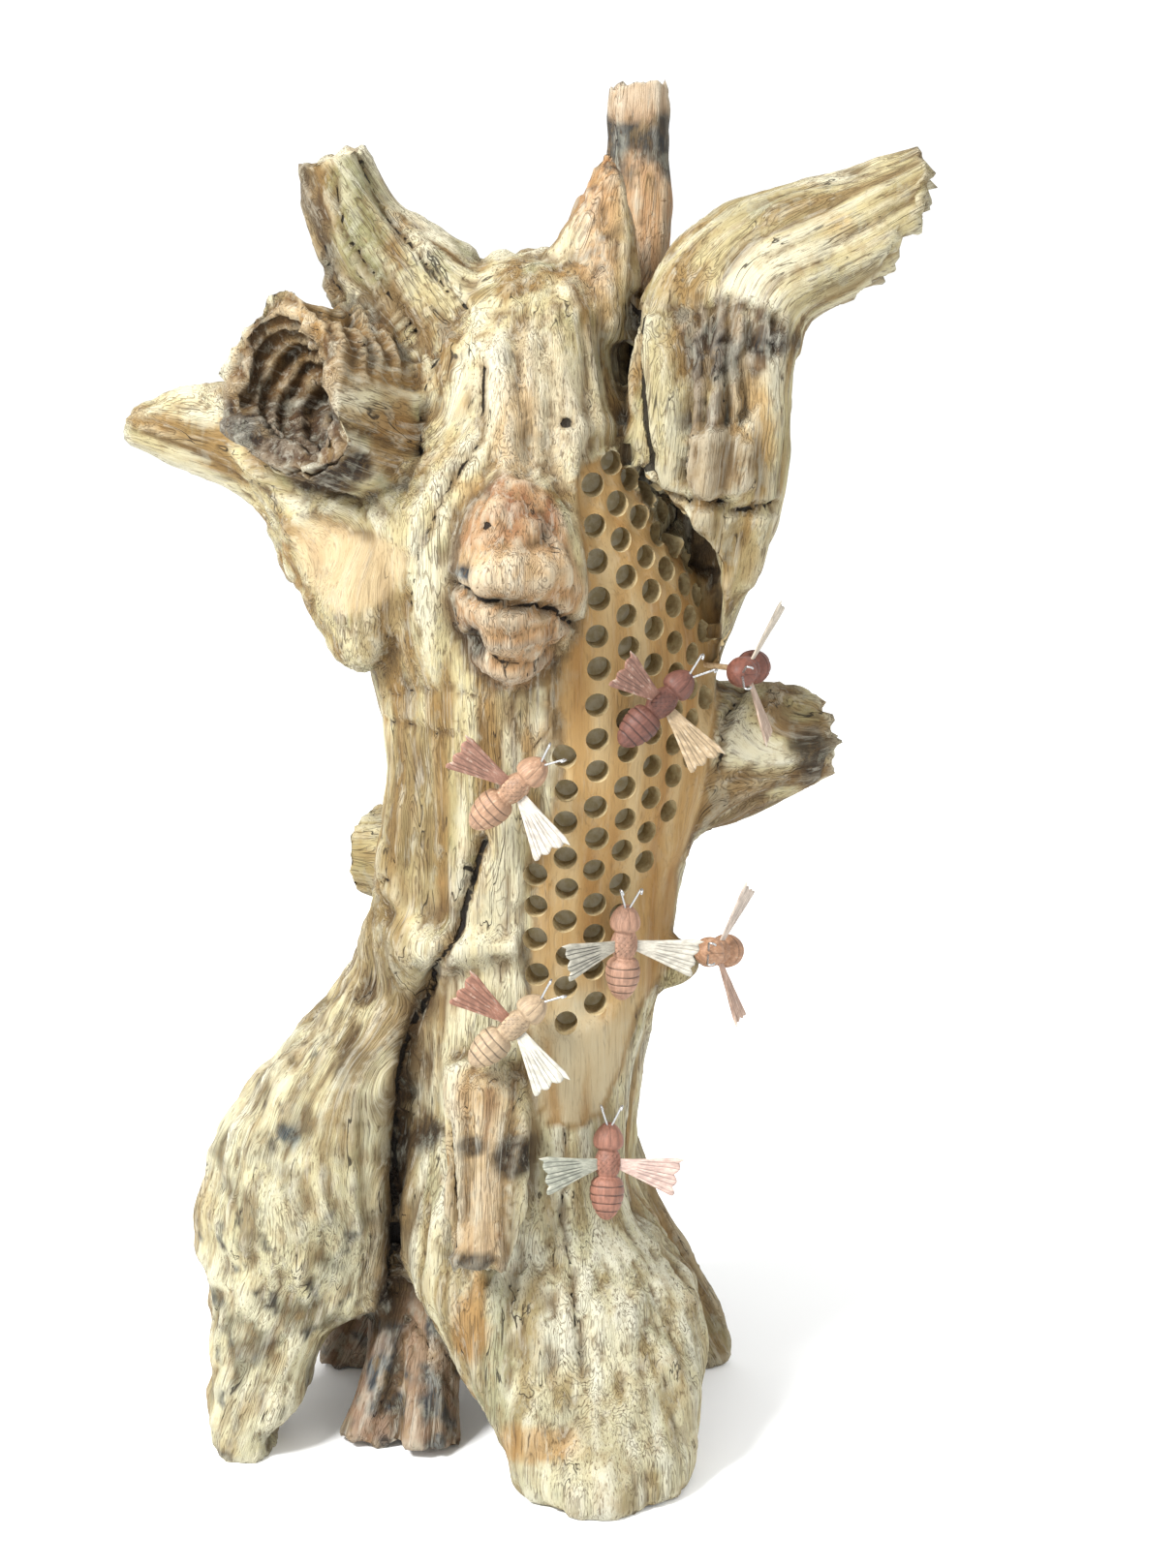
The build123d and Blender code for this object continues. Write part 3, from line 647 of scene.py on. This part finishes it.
# planed face
tone = lay(tone, "c6a26b", on_face)
tone = lay(tone, "dcc497", on_face * step(long_streak, 0.0, 0.9) * 0.8)
tone = lay(tone, "d9d0b4", on_face * step(260 - seen[:, 1] + 25 * blot_noise, 0, 60) * 0.7)
tone = lay(tone, "a8793f", on_face * step(-long_streak, 0.35, 0.9) * 0.5)
tone = lay(tone, "8f6b3c", fade(np.abs(face_depth), 0.2, 2.2) * front * (points[:, 1] < -4) * 0.5)
tone = np.clip(tone, 0, 1)


def linear(values):
    return np.where(values <= 0.04045, values / 12.92, ((values + 0.055) / 1.055) ** 2.4)


def store(mesh, name, kind, values):
    layer = mesh.attributes.new(name, kind, "POINT")
    key = {"FLOAT": "value", "FLOAT_VECTOR": "vector", "FLOAT_COLOR": "color"}[kind]
    layer.data.foreach_set(key, np.ascontiguousarray(values, dtype=np.float32).ravel())


tone_linear = np.column_stack([linear(tone) ** 1.12 * PAINT, np.ones(len(tone))])
grain_points = grain_space(points) / 10
planed = np.clip(on_face + 0.7 * sanded, 0, 1)
store(mesh, "tone", "FLOAT_COLOR", tone_linear)
store(mesh, "grain", "FLOAT_VECTOR", grain_points)
store(mesh, "crack", "FLOAT", np.clip(crack, -4, 9))
store(mesh, "planed", "FLOAT", planed)
for polygon in mesh.polygons:
    polygon.use_smooth = True

# ---------------------------------------------------------------------------------------------
# Wood
# ---------------------------------------------------------------------------------------------


class Nodes:
    """Short ways to add and join shader nodes."""

    def __init__(self, tree):
        self.tree = tree

    def add(self, kind, **settings):
        node = self.tree.nodes.new(kind)
        for name, value in settings.items():
            setattr(node, name, value)
        return node

    def join(self, output, socket):
        self.tree.links.new(output, socket)

    def math(self, operation, a, b=None, clamp=False):
        node = self.add("ShaderNodeMath", operation=operation, use_clamp=clamp)
        for socket, value in zip(node.inputs, (a, b)):
            if value is None:
                continue
            if isinstance(value, (int, float)):
                socket.default_value = value
            else:
                self.join(value, socket)
        return node.outputs[0]

    def ramp(self, value, low, high, out_low=0.0, out_high=1.0):
        node = self.add("ShaderNodeMapRange", interpolation_type="SMOOTHSTEP")
        self.join(value, node.inputs["Value"])
        for name, number in (("From Min", low), ("From Max", high), ("To Min", out_low),
                             ("To Max", out_high)):
            node.inputs[name].default_value = number
        return node.outputs["Result"]

    def mix(self, amount, a, b, blend="MIX"):
        node = self.add("ShaderNodeMix", data_type="RGBA", blend_type=blend)
        for socket, value in ((node.inputs[0], amount), (node.inputs[6], a), (node.inputs[7], b)):
            if isinstance(value, (int, float, tuple)):
                socket.default_value = value
            else:
                self.join(value, socket)
        return node.outputs[2]

    def noise(self, vector, scale, stretch=(1, 1, 1), detail=3.0, rough=0.55, distort=0.0):
        place = self.add("ShaderNodeMapping")
        place.inputs["Scale"].default_value = stretch
        self.join(vector, place.inputs["Vector"])
        node = self.add("ShaderNodeTexNoise")
        node.inputs["Scale"].default_value = scale
        node.inputs["Detail"].default_value = detail
        node.inputs["Roughness"].default_value = rough
        node.inputs["Distortion"].default_value = distort
        self.join(place.outputs[0], node.inputs["Vector"])
        return node.outputs["Fac"]


def grain_group():
    """Weathered grain: Vector in; Streak, Fibre and Height out."""
    group = bpy.data.node_groups.new("weathered_grain", "ShaderNodeTree")
    group.interface.new_socket("Vector", in_out="INPUT", socket_type="NodeSocketVector")
    for name in ("Streak", "Fibre", "Height"):
        group.interface.new_socket(name, in_out="OUTPUT", socket_type="NodeSocketFloat")
    n = Nodes(group)
    into, out = n.add("NodeGroupInput"), n.add("NodeGroupOutput")
    vector = into.outputs["Vector"]
    streak = n.noise(vector, 2.6, (1, 1, 0.07), 4.0, 0.6, 0.3)
    fibre = n.noise(vector, 9.0, (1, 1, 0.05), 3.0, 0.6, 0.2)
    thread = n.noise(vector, 24.0, (1, 1, 0.04), 2.0, 0.5)
    height = n.math("ADD", n.math("MULTIPLY", streak, 0.45), n.math("ADD", n.math("MULTIPLY", fibre, 0.4),
                    n.math("MULTIPLY", thread, 0.15)))
    for name, value in (("Streak", streak), ("Fibre", fibre), ("Height", height)):
        n.join(value, out.inputs[name])
    return group


GRAIN = grain_group()


def new_material(name):
    material = bpy.data.materials.new(name)
    material.use_nodes = True
    tree = material.node_tree
    return material, Nodes(tree), tree.nodes["Principled BSDF"]


def attribute(n, name):
    return n.add("ShaderNodeAttribute", attribute_name=name, attribute_type="GEOMETRY")


def stump_material():
    material, n, shader = new_material("weathered_root_wood")
    tone = attribute(n, "tone").outputs["Color"]
    space = attribute(n, "grain").outputs["Vector"]
    grain = n.add("ShaderNodeGroup", node_tree=GRAIN)
    n.join(space, grain.inputs["Vector"])
    place = n.add("ShaderNodeTexCoord").outputs["Object"]
    mottle = n.noise(place, 90.0, (1, 1, 0.6), 5.0, 0.65)
    specks = n.noise(place, 420.0, (1, 1, 0.5), 3.0, 0.6)
    planed = attribute(n, "planed").outputs["Fac"]
    rough_part = n.math("SUBTRACT", 1.0, n.math("MULTIPLY", planed, 0.65))

    dark_line = n.math("MULTIPLY", n.ramp(grain.outputs["Fibre"], 0.47, 0.33), rough_part)
    colour = n.mix(n.math("MULTIPLY", dark_line, 0.7), tone, srgb("5c4528"))
    pale_line = n.math("MULTIPLY", n.ramp(grain.outputs["Streak"], 0.52, 0.68), rough_part)
    colour = n.mix(n.math("MULTIPLY", pale_line, 0.3), colour, srgb("f9f4e0"))
    warm = n.ramp(mottle, 0.52, 0.66)
    colour = n.mix(n.math("MULTIPLY", n.math("MULTIPLY", warm, rough_part), 0.35), colour, srgb("a98c5c"))
    cold = n.ramp(mottle, 0.47, 0.36)
    colour = n.mix(n.math("MULTIPLY", n.math("MULTIPLY", cold, rough_part), 0.28), colour, srgb("c9c9b4"))
    speck = n.math("MULTIPLY", n.ramp(specks, 0.64, 0.72), n.ramp(mottle, 0.45, 0.6))
    colour = n.mix(n.math("MULTIPLY", n.math("MULTIPLY", speck, rough_part), 0.22), colour, srgb("3b3226"))
    flow = n.noise(space, 0.75, (1, 1, 0.11), 3.0, 0.5, 0.4)
    lines = n.math("SINE", n.math("MULTIPLY", flow, 150.0))
    where = n.ramp(n.noise(space, 0.5, (1, 1, 0.3), 3.0), 0.4, 0.6)
    check = n.math("MULTIPLY", n.ramp(lines, 0.55, 1.0), n.math("MULTIPLY", where, rough_part))
    colour = n.mix(n.math("MULTIPLY", check, 0.42), colour, srgb("5b4426"))
    deep = n.math("MULTIPLY", n.ramp(n.math("ABSOLUTE", n.math("SUBTRACT", flow, 0.52)), 0.006, 0.001),
                  n.math("MULTIPLY", n.ramp(n.noise(space, 0.8, (1, 1, 0.5), 2.0), 0.52, 0.6), rough_part))
    colour = n.mix(n.math("MULTIPLY", deep, 0.85), colour, srgb("2c2116"))
    # painted shade: the cracks and small knot holes are coloured near black, the shade inside them
    crack = attribute(n, "crack").outputs["Fac"]
    wobble = n.math("MULTIPLY", n.math("SUBTRACT", n.noise(place, 300.0, detail=2.0), 0.5), 1.6)
    gap = n.ramp(n.math("ADD", crack, wobble), 0.35, -0.25)
    colour = n.mix(n.math("MULTIPLY", gap, 0.92), colour, srgb("16100b"))
    n.join(colour, shader.inputs["Base Color"])
    n.join(n.ramp(grain.outputs["Streak"], 0.3, 0.7, 0.72, 0.9), shader.inputs["Roughness"])
    shader.inputs["Specular IOR Level"].default_value = 0.25

    raised = n.math("ADD", grain.outputs["Height"], n.math("MULTIPLY", mottle, 0.25))
    sunk = n.math("ADD", n.math("MULTIPLY", check, 0.25), n.math("MULTIPLY", deep, 0.6))
    height = n.math("SUBTRACT", raised, n.math("ADD", n.math("MULTIPLY", gap, 1.2), sunk))
    bump = n.add("ShaderNodeBump")
    bump.inputs["Distance"].default_value = 0.0022
    n.join(n.math("MULTIPLY", rough_part, 0.95), bump.inputs["Strength"])
    n.join(height, bump.inputs["Height"])
    n.join(bump.outputs[0], shader.inputs["Normal"])
    return material


def tunnel_material(name, dark, light):
    material, n, shader = new_material(name)
    place = n.add("ShaderNodeTexCoord").outputs["Object"]
    rings = n.noise(place, 260.0, (1, 1, 1), 4.0, 0.6)
    # painted light: the tunnel colours are made a quarter brighter than the other paint, up to 0.85
    dark, light = (tuple([min(0.85, 1.25 * v) for v in srgb(colour)[:3]] + [1.0]) for colour in (dark, light))
    colour = n.mix(n.ramp(rings, 0.35, 0.65), dark, light)
    n.join(colour, shader.inputs["Base Color"])
    shader.inputs["Roughness"].default_value = 0.85
    bump = n.add("ShaderNodeBump")
    bump.inputs["Distance"].default_value = 0.0008
    bump.inputs["Strength"].default_value = 0.7
    n.join(rings, bump.inputs["Height"])
    n.join(bump.outputs[0], shader.inputs["Normal"])
    return material


mesh.materials.clear()
mesh.materials.append(stump_material())
tunnel_wood = tunnel_material("tunnel_wall_wood", "b59c6e", "d9c596")
# painted light: the tunnel floors are paler than the walls, as if lit
floor_wood = tunnel_material("tunnel_floor_wood", "dccfa6", "f7f0d6")

# the nest tunnels, drilled again through the weathered surface
bm = bmesh.new()
for number, (middle, axis, _) in enumerate(tunnels):
    turn = Vector((0, 0, 1)).rotation_difference(axis).to_matrix().to_4x4()
    spin = Matrix.Rotation(number * 0.7, 4, "Z")
    length = TUNNEL_DEPTH + 14
    place = Matrix.Translation(middle + axis * (length / 2 * MM)) @ turn @ spin
    wide = TUNNEL_RADIUS * (1.0 + 0.03 * math.sin(number * 2.7))
    bmesh.ops.create_cone(bm, cap_ends=True, segments=22, radius1=wide * 0.97 * MM,
                          radius2=wide * 1.02 * MM, depth=length * MM, matrix=place)
bmesh.ops.recalc_face_normals(bm, faces=bm.faces[:])
for face in bm.faces:
    face.material_index = int(len(face.verts) > 4)
drill_mesh = bpy.data.meshes.new("drills")
bm.to_mesh(drill_mesh)
bm.free()
drill_mesh.materials.append(tunnel_wood)
drill_mesh.materials.append(floor_wood)
drills = bpy.data.objects.new("drills", drill_mesh)
bpy.context.scene.collection.objects.link(drills)
modifier = stump.modifiers.new("drill", "BOOLEAN")
modifier.solver = "MANIFOLD"
modifier.operation = "DIFFERENCE"
modifier.material_mode = "TRANSFER"
modifier.object = drills
bpy.context.view_layer.objects.active = stump
bpy.ops.object.modifier_apply(modifier=modifier.name)
bpy.data.objects.remove(drills)
mesh = stump.data

# the drilled rims take their paint from the wood they were cut from
rim_points = set()
for polygon in mesh.polygons:
    if polygon.material_index:
        rim_points.update(polygon.vertices)
rim_points = np.array(sorted(rim_points))
at = coordinates(mesh)[rim_points]
tree = KDTree(len(points))
for i, spot in enumerate(points):
    tree.insert(spot, i)
tree.balance()
nearest = np.array([tree.find(spot)[1] for spot in at])
for name, key, before, width in (("tone", "color", tone_linear, 4), ("grain", "vector", grain_points, 3),
                                 ("crack", "value", np.full(len(points), 9.0), 1),
                                  ("planed", "value", planed, 1)):
    values = np.zeros(len(mesh.vertices) * width, dtype=np.float32)
    mesh.attributes[name].data.foreach_get(key, values)
    values = values.reshape(-1, width)
    values[rim_points] = before.reshape(-1, width)[nearest]
    mesh.attributes[name].data.foreach_set(key, values.ravel())

bm = bmesh.new()
bm.from_mesh(mesh)
for edge in bm.edges:
    if len(edge.link_faces) == 2:
        one, two = edge.link_faces
        if one.material_index != two.material_index or (one.material_index and edge.calc_face_angle() > 1.0):
            edge.smooth = False
bm.to_mesh(mesh)
bm.free()
print("stump", sum(len(p.vertices) - 2 for p in mesh.polygons), "triangles", [m.name for m in mesh.materials])

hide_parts("stump")
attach(stump, "stump")

# ---------------------------------------------------------------------------------------------
# Bees, carved around their own origin: head along +x, left wing along +y, peg from below
# ---------------------------------------------------------------------------------------------

BORE_RADIUS = 1.56
STAND_OFF = 14.9  # from the middle of a peg to the middle of its bee, in millimetres
HALF_THORAX, HEAD, ABDOMEN, NECK = 7.0, 13.6, 22.0, 4.6
RADII = {"head": 7.2, "thorax": 6.8, "abdomen": 8.3}
# out of the wood, heading, whether the abdomen has lengthwise lines, then colours of the parts
BEES = [
    ((-0.06, -1, 0.02), (0.73, 0, 0.68), True, "d3a785", "ead8bb", "c4917a", "efe5d6"),
    ((0.35, -1, 0.02), (0.73, 0.2, 0.68), True, "8a5a4c", "976a59", "b48470", "d8bd96"),
    ((0.04, -1, 0.17), (0.74, 0, 0.67), False, "dcc09c", "e3cca8", "c68d74", "efeada"),
    ((0.3, -1, 0.04), (0.06, 0, 1), False, "d3a488", "d6aa90", "d9d4c2", "eee7d6"),
    ((1, -0.3, -0.06), (-0.35, -1, 0.12), True, "98604f", "8f5443", "e6c8b0", "efe1cc"),
    ((1, -0.42, 0.04), (-0.4, -1, 0.3), False, "d9a680", "ead7c3", "ebc5ad", "f2dfce"),
    ((0.14, -1, 0.24), (0.06, 0, 1), True, "be8670", "c68f7a", "ced0bd", "f0cfc1"),
]
BEE_SLOTS = [("bee_tan", "wing_terracotta", "wing_cream"), ("bee_red_brown", "wing_terracotta", "wing_cream"),
             ("bee_pale", "wing_terracotta", "wing_cream"), ("bee_orange", "wing_white", "wing_white"),
             ("bee_red_brown", "wing_terracotta", "wing_cream"), ("bee_orange", "wing_orange", "wing_orange"),
             ("bee_red_tan", "wing_white", "wing_pink")]
DARK_VEINS = {(4, "left"): 1.0, (7, "left"): 0.8}


def body_radius(x):
    if x > HALF_THORAX:
        t, full = (x - HALF_THORAX) / HEAD, RADII["head"]
    elif x > -HALF_THORAX:
        t = (x + HALF_THORAX) / (2 * HALF_THORAX)
        return NECK + (RADII["thorax"] - NECK) * math.sin(math.pi * t)
    else:
        t, full = (-HALF_THORAX - x) / ABDOMEN, RADII["abdomen"]
    return NECK * (1 - t) + (full - NECK / 2) * math.sqrt(max(0.0, 1 - (2 * t - 1) ** 2))


def cut_line(distance, width):
    return max(0.0, 1 - abs(distance) / width)


def carve_body(lined, seed):
    """One turned body with its cut lines, as a bmesh with the depth of the lines on each point."""
    tail, nose = -HALF_THORAX - ABDOMEN, HALF_THORAX + HEAD
    stations, around = 116, 56
    bm = bmesh.new()
    cut = bm.verts.layers.float.new("cut")
    profile = []
    for i in range(stations + 1):
        t = 0.35 * (0.5 - 0.5 * math.cos(math.pi * i / stations)) + 0.65 * i / stations
        x = tail + (nose - tail) * t
        profile.append(bm.verts.new((x, 0, body_radius(x) if 0 < i < stations else 0)))
    edges = [bm.edges.new(pair) for pair in zip(profile, profile[1:])]
    bmesh.ops.spin(bm, geom=profile + edges, cent=(0, 0, 0), axis=(1, 0, 0), angle=2 * math.pi, steps=around,
                   use_merge=True)
    bmesh.ops.remove_doubles(bm, verts=bm.verts[:], dist=1e-4)
    rings = [-HALF_THORAX - ABDOMEN * (i + 1.0) / 5.2 for i in range(4)]
    for vert in bm.verts:
        x, radius = vert.co.x, math.hypot(vert.co.y, vert.co.z)
        if radius < 0.01:
            continue
        angle = math.atan2(vert.co.z, vert.co.y)
        across = (math.pi / 2 - angle + math.pi) % (2 * math.pi) - math.pi
        side = across * radius
        if x < -HALF_THORAX:
            line = max(cut_line(x - ring + 0.25 * noise.noise((x, angle * 2, seed)), 0.65) for ring in rings)
            if lined and x > rings[3] - 3:
                line = max(line, 0.7 * max(cut_line(across - spot, 0.5 / radius) for spot in (-0.42, 0.25)))
        elif x < HALF_THORAX:
            weave = max(cut_line((x + s + 60) % 3.2 - 1.6, 0.5) for s in (side, -side))
            line = 0.75 * weave * (abs(x) < 5) * (abs(across) < 1.3)
        else:
            line = 0.6 * max(cut_line(across - spot, 0.6 / radius) for spot in (-0.65, 0.0, 0.65))
            line *= (x < nose - 1.5) * (x > HALF_THORAX + 2)
        dent = 0.62 * line + 0.14 * noise.noise((x * 0.35, angle * 1.6, seed + 5))
        vert.co = (x, math.cos(angle) * (radius - dent), math.sin(angle) * (radius - dent))
        vert[cut] = line
    return bm


def carve_wing(side, seed):
    """One fan-shaped wing with cut veins and a notched tip, on the left (1) or the right (-1)."""
    length, rows, columns, root, tip = 33.0, 44, 40, 2.5, 9.6
    lean = Matrix.Rotation(math.radians(22), 4, "X") @ Matrix.Rotation(math.radians(8), 4, "Z")
    veins = [-0.72 + 0.29 * k + 0.05 * math.sin(seed * 3 + k * 2.1) for k in range(6)]
    bm = bmesh.new()
    bmesh.ops.create_grid(bm, x_segments=columns, y_segments=rows, size=1.0)
    cut, layer = bm.verts.layers.float.new("cut"), bm.verts.layers.float.new("layer")
    for vert in bm.verts:
        vert[layer] = 1.0
    grown = bmesh.ops.extrude_face_region(bm, geom=bm.faces[:], use_keep_orig=True)["geom"]
    for vert in grown:
        if isinstance(vert, bmesh.types.BMVert):
            vert[layer] = -1.0
    for vert in bm.verts:
        v, along = vert.co.x, (vert.co.y + 1) / 2
        notch = 0.06 * abs(math.sin(1.5 * math.pi * (v + 0.12))) + 0.05 * max(0.0, -v) ** 2 + 0.03 * v * v
        u = along * (1.0 - 0.075 + notch - 0.05 * max(0.0, v) ** 3)
        half = root + (tip - root) * min(1.0, u / 0.9) ** 1.15
        line = max(cut_line(v - vein, 0.55 / half) for vein in veins) * step(u, 0.22, 0.45)
        line *= 1 - step(abs(v), 0.86, 0.95)
        edge = min(1.0, (1 - abs(v)) * half / 1.1, (1 - along) * length / 1.1)
        thick = 0.75 * (0.3 + 0.7 * math.sqrt(max(0.0, edge))) - 0.28 * line
        lift = vert[layer] * thick + 0.5 * math.cos(v * 1.4) * u + 0.15 * noise.noise((u * 5, v * 2, seed))
        spot = lean @ Vector((-v * half - 0.6 * u, u * length, lift))
        vert.co = (spot.x, (spot.y + 3.8) * side, spot.z + 1.5)
        vert[cut] = line
    return bm


def carved_group():
    """Fine carved wood: grain drawn out along x, and darker in the cut lines."""
    group = bpy.data.node_groups.new("carved_grain", "ShaderNodeTree")
    for name, kind in (("Vector", "Vector"), ("Cut", "Float"), ("Line Strength", "Float"), ("Wood", "Color"),
                       ("Pale", "Color"), ("Shade", "Color"), ("Line", "Color")):
        group.interface.new_socket(name, in_out="INPUT", socket_type=f"NodeSocket{kind}")
    for name, kind in (("Color", "Color"), ("Roughness", "Float"), ("Height", "Float")):
        group.interface.new_socket(name, in_out="OUTPUT", socket_type=f"NodeSocket{kind}")
    n = Nodes(group)
    into, out = n.add("NodeGroupInput").outputs, n.add("NodeGroupOutput").inputs
    grain = n.noise(into["Vector"], 1.3, (0.12, 1, 1), 4.0, 0.6, 0.2)
    fibre = n.noise(into["Vector"], 5.0, (0.08, 1, 1), 2.0, 0.6)
    shade = n.mix(n.ramp(grain, 0.38, 0.62), into["Shade"], into["Wood"])
    shade = n.mix(n.math("MULTIPLY", n.ramp(grain, 0.55, 0.72), 0.6), shade, into["Pale"])
    shade = n.mix(n.math("MULTIPLY", n.ramp(fibre, 0.5, 0.36), 0.35), shade, into["Shade"])
    lines = n.math("MULTIPLY", n.ramp(into["Cut"], 0.25, 0.8), into["Line Strength"])
    shade = n.mix(lines, shade, into["Line"])
    n.join(shade, out["Color"])
    n.join(n.ramp(grain, 0.3, 0.7, 0.48, 0.66), out["Roughness"])
    n.join(n.math("ADD", grain, fibre), out["Height"])
    return group


CARVED = carved_group()


def carved_wood(name, colour, pale, dark):
    material, n, shader = new_material(name)
    carved = n.add("ShaderNodeGroup", node_tree=CARVED)
    n.join(attribute(n, "own").outputs["Vector"], carved.inputs["Vector"])
    n.join(attribute(n, "cut").outputs["Fac"], carved.inputs["Cut"])
    for socket, value in (("Line Strength", dark), ("Wood", srgb(colour)), ("Pale", srgb(pale)),
                          ("Shade", darker(colour, 0.66)), ("Line", darker(colour, 0.14))):
        carved.inputs[socket].default_value = value
    n.join(carved.outputs["Color"], shader.inputs["Base Color"])
    n.join(carved.outputs["Roughness"], shader.inputs["Roughness"])
    shader.inputs["Specular IOR Level"].default_value = 0.35
    bump = n.add("ShaderNodeBump")
    bump.inputs["Distance"].default_value = 0.0004
    bump.inputs["Strength"].default_value = 0.5
    n.join(carved.outputs["Height"], bump.inputs["Height"])
    n.join(bump.outputs[0], shader.inputs["Normal"])
    return material


def dowel_material():
    material, n, shader = new_material("dowel_wood")
    place = n.add("ShaderNodeTexCoord").outputs["Object"]
    grain = n.noise(place, 700.0, (1, 0.1, 1), 3.0, 0.6)
    n.join(n.mix(n.ramp(grain, 0.35, 0.65), srgb("b48d5e"), srgb("e0c193")), shader.inputs["Base Color"])
    n.join(n.ramp(grain, 0.3, 0.7, 0.6, 0.8), shader.inputs["Roughness"])
    return material


def darker(colour, share):
    return tuple([v * share for v in srgb(colour)[:3]] + [1.0])


def piece(name, node, body, slot_name, bm, place, along, material, bored=False):
    """A finished bee part: its own coordinates kept for the grain, bored for the peg, and set in place."""
    own = bm.verts.layers.float_vector.new("own")
    for vert in bm.verts:
        x, y, z = vert.co
        vert[own] = Vector((x, y, z) if along == "x" else (abs(y), x, z)) / 3
    bmesh.ops.scale(bm, vec=(MM, MM, MM), verts=bm.verts[:])
    bmesh.ops.recalc_face_normals(bm, faces=bm.faces[:])
    mesh = bpy.data.meshes.new(name)
    bm.to_mesh(mesh)
    bm.free()
    mesh.materials.append(material)
    made_object = bpy.data.objects.new(name, mesh)
    bpy.context.scene.collection.objects.link(made_object)
    if bored:
        bm = bmesh.new()
        bmesh.ops.create_cone(bm, cap_ends=True, segments=24, radius1=BORE_RADIUS * MM,
                              radius2=BORE_RADIUS * MM, depth=12 * MM,
                              matrix=Matrix.Translation((0, 0, -4.5 * MM)))
        bore_mesh = bpy.data.meshes.new("bore")
        bm.to_mesh(bore_mesh)
        bm.free()
        bore = bpy.data.objects.new("bore", bore_mesh)
        bpy.context.scene.collection.objects.link(bore)
        combine(made_object, bore, "DIFFERENCE")
        mesh = made_object.data
    mesh.transform(place)
    mesh.shade_smooth()
    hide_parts(node)
    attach(made_object, body)
    return made_object


wire = bpy.data.materials.new("bright_wire")
wire.use_nodes = True
n = Nodes(wire.node_tree)
shader = wire.node_tree.nodes["Principled BSDF"]
shader.inputs["Metallic"].default_value = 0.85
scuff = n.noise(n.add("ShaderNodeTexCoord").outputs["Object"], 900.0, detail=2.0)
n.join(n.mix(scuff, srgb("c9cbcd"), srgb("f4f4f2")), shader.inputs["Base Color"])
n.join(n.ramp(scuff, 0.3, 0.7, 0.22, 0.42), shader.inputs["Roughness"])

peg_wood = dowel_material()
for number, (out, heading, lined, body_colour, head_colour, left, right) in enumerate(BEES, 1):
    low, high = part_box(f"bee_{number}_pin")
    out = Vector(out).normalized()
    heading = Vector(heading)
    heading = (heading - out * heading.dot(out)).normalized()
    middle = (Vector(low) + Vector(high)) / 2 + out * STAND_OFF * MM
    side = out.cross(heading)
    place = Matrix.Translation(middle) @ Matrix((heading, side, out)).transposed().to_4x4()
    slots = BEE_SLOTS[number - 1]
    wood = carved_wood(f"bee_{number}_wood", body_colour, head_colour, 0.85)
    body = f"bee_{number}"
    piece(f"bee_{number}_carved_body", f"bee_{number}_body", body, slots[0],
          carve_body(lined, number * 7.0), place, "x", wood, True)
    for word, sign, colour, slot_name in (("left", 1, left, slots[1]), ("right", -1, right, slots[2])):
        veins = DARK_VEINS.get((number, word), 0.55)
        material = carved_wood(f"bee_{number}_{word}_wing_wood", colour, "f8efdd", veins)
        piece(f"bee_{number}_carved_wing_{word}", f"bee_{number}_wing_{word}", body, slot_name,
              carve_wing(sign, number * 3.0 + sign), place, "y", material)
    peg = bpy.data.objects[f"bee_{number}_pin"]
    feelers = bpy.data.objects[f"bee_{number}_feelers"]
    for slot_index in range(len(peg.material_slots)):
        peg.material_slots[slot_index].material = peg_wood
    for slot_index in range(len(feelers.material_slots)):
        feelers.material_slots[slot_index].material = wire

# ---------------------------------------------------------------------------------------------
# Floor, light, camera
# ---------------------------------------------------------------------------------------------

bm = bmesh.new()
bmesh.ops.create_grid(bm, x_segments=1, y_segments=1, size=8.0)
floor_mesh = bpy.data.meshes.new("floor")
bm.to_mesh(floor_mesh)
bm.free()
floor = bpy.data.objects.new("floor", floor_mesh)
bpy.context.scene.collection.objects.link(floor)
paper = bpy.data.materials.new("pale_floor")
paper.use_nodes = True
paper.node_tree.nodes["Principled BSDF"].inputs["Base Color"].default_value = (0.93, 0.94, 0.94, 1)
paper.node_tree.nodes["Principled BSDF"].inputs["Roughness"].default_value = 0.9
floor_mesh.materials.append(paper)

world = bpy.data.worlds.new("studio")
bpy.context.scene.world = world
world.use_nodes = True
world.node_tree.nodes["Background"].inputs["Color"].default_value = (1.0, 1.0, 1.0, 1)
world.node_tree.nodes["Background"].inputs["Strength"].default_value = 1.12


def area_light(name, place, aim, size, power):
    data = bpy.data.lights.new(name, "AREA")
    data.shape = "DISK"
    data.size = size
    data.energy = power
    light = bpy.data.objects.new(name, data)
    bpy.context.scene.collection.objects.link(light)
    light.location = place
    light.rotation_euler = (Vector(aim) - Vector(place)).to_track_quat("-Z", "Y").to_euler()
    return light


area_light("key", (-1.15, -1.0, 1.75), (0, 0, 0.33), 0.7, 88)
area_light("fill", (1.3, -1.4, 1.2), (0, 0, 0.35), 1.2, 8)

bpy.context.scene.view_settings.view_transform = "Standard"
camera_data = bpy.data.cameras.new("camera")
camera_data.sensor_width = 36
camera_data.lens = 36 * 3000 / 1619
camera = bpy.data.objects.new("camera", camera_data)
bpy.context.scene.collection.objects.link(camera)
aim = Vector((31.0 + SHIFT[0], SHIFT[1], 344.0)) * MM
rise = math.radians(15)
camera.location = aim + Vector((0, -math.cos(rise), math.sin(rise))) * 1.5
camera.rotation_euler = (math.pi / 2 - rise, 0, 0)
bpy.context.scene.camera = camera
